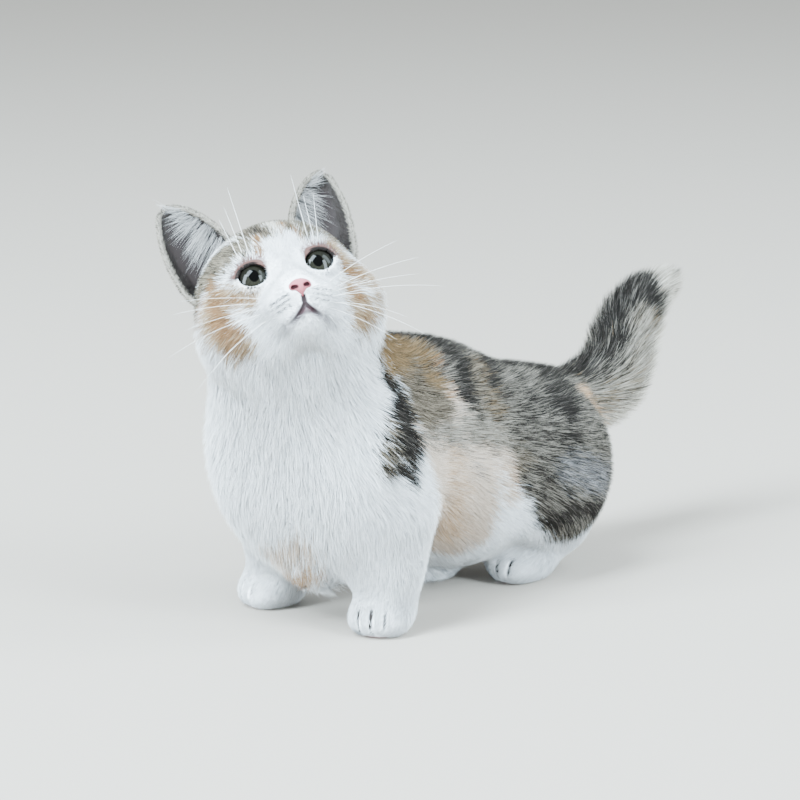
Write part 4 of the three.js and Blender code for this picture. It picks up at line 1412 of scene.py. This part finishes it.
def bare(q, p):
    """Where nothing grows: lids, lips, nose, the ears' hollows, between the toes and under the feet."""
    lips = near_lines(q, MOUTH_LINES)
    lip = ellipsoid(LOWER_LIP, LIP_RADII)(q)
    none = (lips < 0.3 + 0.7 * mouth_fade(q)) | (lip < 0.3) | (nose_field(q) < 0.3) | (ear_hollow(q) < 0.6)
    for side in (1, -1):
        local = eye_local(q, side)
        out = np.sqrt((local**2).sum(1))
        above = np.clip(local[:, 2] / 3 + 0.1, 0, 1)
        none |= (near_line(q, LID_LINES[side], closed=True) < 0.75 + 1.0 * above) | (out < EYE_RADIUS)
    low = np.flatnonzero(p[:, 2] < 18)
    none[low] |= near_lines(p[low], TOE_LINES) < 0.9
    return none | (p[:, 2] < 0.8)


def sample_roots(mesh):
    """Roots of tufts all over the skin, as close as the lie says, with the skin's normals there."""
    p = places_of(mesh)
    tri = triangles_of(mesh)
    a, b, c = (p[tri[:, n]] for n in range(3))
    normal = np.cross(b - a, c - a)
    want = np.linalg.norm(normal, axis=1) / 2 * lie((a + b + c) / 3)[3]
    pick = np.repeat(np.arange(len(tri)), (want + rng.random(len(tri))).astype(int))
    u, v = rng.random((2, len(pick)))
    over = u + v > 1
    u[over], v[over] = 1 - u[over], 1 - v[over]
    root = a[pick] + (b - a)[pick] * u[:, None] + (c - a)[pick] * v[:, None]
    vn = np.zeros_like(p)
    for n in range(3):
        np.add.at(vn, tri[:, n], normal)
    vn = unit(vn)
    corners = vn[tri[pick]]
    share = np.stack([1 - u - v, u, v], 1)
    return root, unit((corners * share[:, :, None]).sum(1))


def leaders(root, each):
    """For each root one that leads it, about one in so many being a leader."""
    spots = rng.choice(len(root), size=max(1, len(root) // each), replace=False)
    tree = KDTree(len(spots))
    for n, spot in enumerate(spots):
        tree.insert(root[spot], n)
    tree.balance()
    return spots[np.array([tree.find(r)[1] for r in root])]


def tufts(root, normal, part):
    """Each tuft's middle line and width, and the one that leads its lock."""
    count = len(root)
    flow, length, depth, _, width = lie(root)
    on_ear = part == PARTS.index("ears")
    stray = rng.normal(0, 0.15, (count, 3)) + 0.2 * waves(root, 13, 70)
    flow = flow + stray
    flow = unit(flow - (flow * normal).sum(1)[:, None] * normal)
    length = length * rng.uniform(0.7, 1.15, count) * (1 + 0.1 * ripple(root, 17, 80))
    edge = np.min([near_line(to_head(root), EAR_EDGES[s]) for s in (1, -1)], axis=0)
    length = np.where(on_ear, np.minimum(length, np.clip(edge, 1.3, 2.6)), length)
    depth = np.where(on_ear, np.minimum(depth, 0.6), depth) * rng.uniform(0.75, 1.35, count)
    depth[part == PARTS.index("tail")] *= 1.5
    line = [root - 0.25 * normal]
    ground = whole(root)
    for s in (BEND_AT, 1.0):
        base = root + flow * (length * s * 0.95)[:, None]
        rise = depth * (1.3 * s - 0.3 * s * s)
        away = np.clip(whole(base) - ground, -2, 5)
        away[on_ear] = 0
        line.append(base + normal * (rise - away)[:, None])
    line = np.stack(line, 1)
    line[:, :, 2] = np.maximum(line[:, :, 2], 0.25)
    lead = leaders(root, 9)
    pull = np.clip(length / 27, 0.08, 0.6) * rng.uniform(0.4, 1.2, count)
    for n, s in ((1, BEND_AT), (2, 1.0)):
        line[:, n] += (line[lead, n] - line[:, n]) * (pull * s**1.6)[:, None]
    return line, width * rng.uniform(0.75, 1.2, count), length, lead


def tuft_colours(root, middle, lead):
    """A root and a tip colour for each tuft, from the markings where its outer half lies."""
    weight = markings(middle)
    ear_kinds(weight, to_head(root))
    weight = 0.8 * weight + 0.2 * weight[lead]
    weight = np.maximum(weight, 0) ** 1.5
    weight /= weight.sum(1)[:, None]
    kind = (rng.random(len(root))[:, None] > np.cumsum(weight, 1)).sum(1)
    kind = np.minimum(kind, len(NAMES) - 1)
    draw = rng.random(len(root))
    draw = np.where(rng.random(len(root)) < 0.25, draw[lead], draw)
    colour = np.empty((2, len(root), 3))
    for n, rows in enumerate(KINDS.values()):
        mine = np.flatnonzero(kind == n)
        row = np.minimum((draw[mine][:, None] > np.cumsum([r[2] for r in rows])).sum(1), len(rows) - 1)
        for end in (0, 1):
            colour[end, mine] = np.array([linear(*r[end]) for r in rows])[row]
    q = to_head(root)
    # the face's accents, with the painted shade along the mouth
    for end in (0, 1):
        colour[end] = accents(colour[end], q)
    shade = rng.uniform(0.74, 1.12, len(root))
    return colour * (0.5 * shade + 0.5 * shade[lead])[:, None]


AXES = {
    "trunk": ((-1, -40, 70), (6, 160, 62)),
    "chest": ((-4, -8, 140), (-4, -4, 20)),
    "foreleg_left": ((32, 3, 60), (32, 2, 0)),
    "foreleg_right": ((-31, 3, 60), (-31, 2, 0)),
    "hindleg_left": ((31, 114, 80), (26, 110, 0)),
    "hindleg_right": ((-17, 114, 80), (-10, 100, 0)),
    "tail": ((7, 140, 60), (8, 215, 125)),
}
PATCH = 0.003


def unwrap(part, root):
    """A root's place on the unrolled skin of its part, in the unit square."""
    if part in ("head", "ears"):
        q = to_head(root)
        if part == "ears":
            flip = np.where(q[:, 0] > 0, 1, -1)
            u = np.abs(q[:, 0] - 5 * flip) / 90 + np.where(flip > 0, 0.0, 0.5)
            back = np.where(q[:, 1] > 12 + (q[:, 2] - 30) * 0.05, 0.5, 0.0)
            return np.stack([u * 0.98, (q[:, 2] - 5) / 130 + back], 1)
        u = np.arctan2(q[:, 0], q[:, 2]) / (2 * pi) + 0.5
        v = np.arccos(np.clip(-q[:, 1] / np.linalg.norm(q, axis=1), -1, 1)) / pi
        return np.stack([u, v], 1)
    a, b = (np.array(end, float) for end in AXES[part])
    way = (b - a) / np.linalg.norm(b - a)
    side = np.cross(way, (1.0, 0, 0))
    side /= np.linalg.norm(side)
    other = np.cross(way, side)
    d = root - a
    u = np.arctan2(d @ side, d @ other) / (2 * pi) + 0.5
    v = (d @ way) / np.linalg.norm(b - a) * 0.7 + 0.15
    return np.stack([u, v], 1)


def coat_piece(name, part, line, normal, width, colours, rings):
    """One mesh of many closed tufts, each a flattened three-sided blade with a point. Its shading follows
    the skin's more than its own sides, as the shading of fine hair does."""
    count, corners = len(line), 3
    size = len(rings) * corners + 1
    verts = np.empty((count, size, 3))
    facing = np.empty((count, size, 3))
    colour = np.empty((count, size, 3))
    uv = np.empty((count, size, 2))
    way = unit(line[:, -1] - line[:, 0])
    across = unit(np.cross(way, normal))
    up = unit(np.cross(across, way))
    place = unwrap(part, line[:, 0]) * (1 - PATCH)
    reach = np.linspace(0, 1, len(rings) + 1)
    for n, wide in enumerate(rings):
        half = (width * wide / 2)[:, None]
        for corner, (u, v) in enumerate(((-1, -0.25), (0, 0.6), (1, -0.25))):
            at = n * corners + corner
            verts[:, at] = line[:, n] + across * half * u + up * half * v
            facing[:, at] = normal + across * 1.1 * u
            uv[:, at] = place + np.array([corner / 2, reach[n]]) * PATCH
        mixed = colours[0] * (1 - reach[n]) + colours[1] * reach[n]
        colour[:, n * corners : (n + 1) * corners] = mixed[:, None]
    verts[:, -1] = line[:, -1]
    facing[:, -1] = normal + way * 0.3
    colour[:, -1] = colours[1]
    uv[:, -1] = place + np.array([0.5, 1.0]) * PATCH
    local = [(0, 2, 1)]
    for a in range((len(rings) - 1) * corners):
        b = a + 1 if (a + 1) % corners else a + 1 - corners
        local += [(a, b, b + corners), (a, b + corners, a + corners)]
    top = (len(rings) - 1) * corners
    local += [(top + c, top + (c + 1) % corners, size - 1) for c in range(corners)]
    faces = (np.array(local)[None] + (np.arange(count) * size)[:, None, None]).reshape(-1, 3)
    mesh = new_mesh(name, verts.reshape(-1, 3), faces)
    paint(mesh, colour.reshape(-1, 3))
    layer = mesh.uv_layers.new(name="OFBake")
    layer.data.foreach_set("uv", uv.reshape(-1, 2)[faces.ravel()].astype(np.float32).ravel())
    mesh.normals_split_custom_set_from_vertices(unit(facing.reshape(-1, 3)))
    obj = new_object(name, mesh, fur)
    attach(obj, "root")


MOST_TRIANGLES = 190000
LONG_FROM = 11.5
roots, normals = sample_roots(skin_mesh)
keep = ~bare(to_head(roots), roots)
roots, normals = roots[keep], normals[keep]
belongs = part_of(roots)
tuft_line, tuft_width, tuft_length, tuft_lead = tufts(roots, normals, belongs)
tuft_tint = tuft_colours(roots, tuft_line[:, 1:].mean(1), tuft_lead)
bends = tuft_length > LONG_FROM
for number, part in enumerate(PARTS):
    for rings, chosen in ((SPIKE, ~bends), (BENT, bends)):
        mine = np.flatnonzero((belongs == number) & chosen)
        if not len(mine):
            continue
        mine = mine[np.argsort(roots[mine, 1 if part == "trunk" else 0])]
        shares = int(np.ceil(len(mine) * (6 * len(rings) - 2) / MOST_TRIANGLES))
        shape = "long" if rings is BENT else "short"
        stops = [0, 1, 2] if rings is BENT else [0, 2]
        for n, some in enumerate(np.array_split(mine, shares)):
            coat_piece(
                f"coat_{part}_{shape}_{n + 1}",
                part,
                tuft_line[some][:, stops],
                normals[some],
                tuft_width[some],
                tuft_tint[:, some],
                rings,
            )


# Long hair in the ears, whiskers and the long hairs over the eyes
def curves(start, end, bulge, count):
    """Lines of a few points from start to end, bowed out by the bulge at their middle."""
    s = np.linspace(0, 1, count)[None, :, None]
    return start[:, None] * (1 - s) + end[:, None] * s + bulge[:, None] * 4 * s * (1 - s)


def ear_hair(side, count=420):
    locks = 70
    lock = rng.integers(0, locks, count)
    spread = rng.random((locks, 3))
    up = spread[lock, 0] * 0.8 + rng.normal(0, 0.015, count)
    root_at = 0.04 + 0.2 * spread[lock, 1] + rng.normal(0, 0.015, count)
    over = 0.2 + 0.3 * spread[lock, 2] + rng.normal(0, 0.06, count)
    climb = (up - 0.35) * 0.5 + rng.normal(0, 0.05, count)
    start = np.array([ear_point(side, h, a, 1.7) for h, a in zip(up, root_at)])
    end = np.array([ear_point(side, h, a, 2.8) for h, a in zip(up + climb, root_at + over)])
    front = ear_point(side, 0.4, 0.5, EAR_MIDDLE) - ear_point(side, 0.4, 0.5, 0)
    line = curves(start, end, np.outer(rng.uniform(0.2, 2.0, count), front), 4)
    return from_head(line), np.tile(HEAD @ front, (count, 1)), rng.uniform(0.13, 0.22, count)


WHISKERS = [
    ((8.0, -29.5, -14.5), (46, -27, -1), 3.0),
    ((9.5, -28.2, -15.5), (52.5, -30.3, -9), 3.5),
    ((8.2, -29.6, -16.8), (50, -28, -15), 3.0),
    ((10.2, -27.6, -17.2), (58.8, -26.5, -24.2), 5.0),
    ((8.6, -29.3, -18.8), (48, -20.5, -40.3), 6.5),
    ((10.4, -27.2, -19.2), (42.6, -21.9, -32.8), 5.0),
    ((8.4, -28.8, -20.4), (37, -18, -36), 4.0),
    ((6.6, -30.8, -17.8), (36, -30, -22), 2.0),
]
# The tips of the right whiskers lie further off along the camera's line, which keeps them inside the
# size rule.
WHISKER_SWEEP = {1: (0, 0, 0), -1: (3.4, 14.8, 5.1)}
BROWS = [
    ((12.5, -21.5, 10.5), (12.6, -29.6, 39.5), 2.0),
    ((14.5, -20.5, 10), (16, -26.3, 31.4), 1.5),
    ((16.5, -19.5, 9.5), (20, -24, 28), 1.0),
]


def long_hairs(rows, side, sweep=(0, 0, 0)):
    flip = np.array([side, 1, 1])
    start, end = (np.array([row[n] for row in rows], float) * flip for n in (0, 1))
    end += sweep
    start += rng.normal(0, 0.3, start.shape)
    end += rng.normal(0, 1.4, end.shape)
    bulge = np.outer([row[2] for row in rows], (0, 0, 1.0)) * 0.5
    line = from_head(curves(start, end, bulge, 11))
    return line, np.tile(HEAD @ np.array([0, -1.0, 0.3]), (len(rows), 1)), np.full(len(rows), 0.2)


WHITE_HAIR = np.array([linear(250, 248, 246)] * 2)
EAR_HAIR = np.array([linear(150, 147, 146), linear(186, 183, 182)])
for name, side in SIDES.items():
    hairs = {
        "ear_hair": ear_hair(side),
        "whiskers": long_hairs(WHISKERS, side, WHISKER_SWEEP[side]),
        "brow_hairs": long_hairs(BROWS, side),
    }
    for kind, (line, facing, width) in hairs.items():
        rings = tuple(np.linspace(1, 0.35, line.shape[1] - 1))
        tint = np.repeat((EAR_HAIR if kind == "ear_hair" else WHITE_HAIR)[:, None], len(line), 1)
        coat_piece(f"{kind}_{name}", "head", line, facing, width, tint, rings)


# Floor, lights and camera
FLOOR_COLOUR = (0.34, 0.3, 0.265)
FLOOR_REACH = 6


def floor():
    material, shader, add, wire = node_material("floor")
    noise = add("ShaderNodeTexNoise", Scale=3)
    spread = add("ShaderNodeMapRange", To_Min=0.97, To_Max=1.0)
    tint = add("ShaderNodeVectorMath", operation="SCALE")
    tint.inputs[0].default_value = FLOOR_COLOUR
    wire(noise, "Fac", spread, "Value")
    wire(spread, "Result", tint, "Scale")
    wire(tint, 0, shader, "Base Color")
    set_values(shader, Roughness=0.9, Specular_IOR_Level=0.1)
    mesh = bpy.data.meshes.new("floor")
    bm = bmesh.new()
    bmesh.ops.create_grid(bm, x_segments=8, y_segments=8, size=FLOOR_REACH)
    bm.to_mesh(mesh)
    bm.free()
    new_object("floor", mesh, material)


def lamp(name, azimuth, elevation, size, power):
    a, e = radians(azimuth), radians(elevation)
    way = Vector((sin(a) * cos(e), -cos(a) * cos(e), sin(e)))
    data = bpy.data.lights.new(name, "AREA")
    data.shape = "RECTANGLE"
    data.size, data.size_y = size
    data.energy = power
    data.color = LAMP_COLOUR
    obj = bpy.data.objects.new(name, data)
    bpy.context.scene.collection.objects.link(obj)
    obj.location = LIT + way * LAMP_DISTANCE
    obj.rotation_euler = way.to_track_quat("Z", "Y").to_euler()


LIT = Vector((0, -0.05, 0.1))
LAMP_DISTANCE = 2.4
LAMP_COLOUR = (0.8, 1.0, 1.12)
CAMERA_TARGET = Vector((0.00825, -0.04022, 0.088))
CAMERA_AZIMUTH, CAMERA_ELEVATION, CAMERA_DISTANCE = 42, 12, 1.3
PIXELS_PER_METRE = 2350
PICTURE_WIDTH = 800
LAMPS = [
    ("above", 0, 60, (0.8, 1.5), 210),
    ("left", -10, 22, (0.8, 2.2), 370),
    ("right", 96, 22, (0.8, 2.2), 240),
    ("back", 130, 42, (1.0, 2.0), 90),
]
SKY_COLOUR = (0.84, 0.95, 1.0, 1)
SKY_STRENGTH = 1.6


def camera():
    a, e = radians(CAMERA_AZIMUTH), radians(CAMERA_ELEVATION)
    back = Vector((sin(a) * cos(e), -cos(a) * cos(e), sin(e)))
    data = bpy.data.cameras.new("camera")
    data.sensor_fit = "HORIZONTAL"
    data.sensor_width = 36
    data.lens = PIXELS_PER_METRE * CAMERA_DISTANCE / PICTURE_WIDTH * data.sensor_width
    data.clip_start = 0.05
    data.clip_end = 50
    obj = bpy.data.objects.new("camera", data)
    bpy.context.scene.collection.objects.link(obj)
    obj.location = CAMERA_TARGET + back * CAMERA_DISTANCE
    obj.rotation_euler = back.to_track_quat("Z", "Y").to_euler()
    bpy.context.scene.camera = obj


floor()
camera()
for lamp_values in LAMPS:
    lamp(*lamp_values)
world = bpy.data.worlds.new("world")
bpy.context.scene.world = world
world.use_nodes = True
background = world.node_tree.nodes["Background"]
background.inputs["Color"].default_value = SKY_COLOUR
background.inputs["Strength"].default_value = SKY_STRENGTH
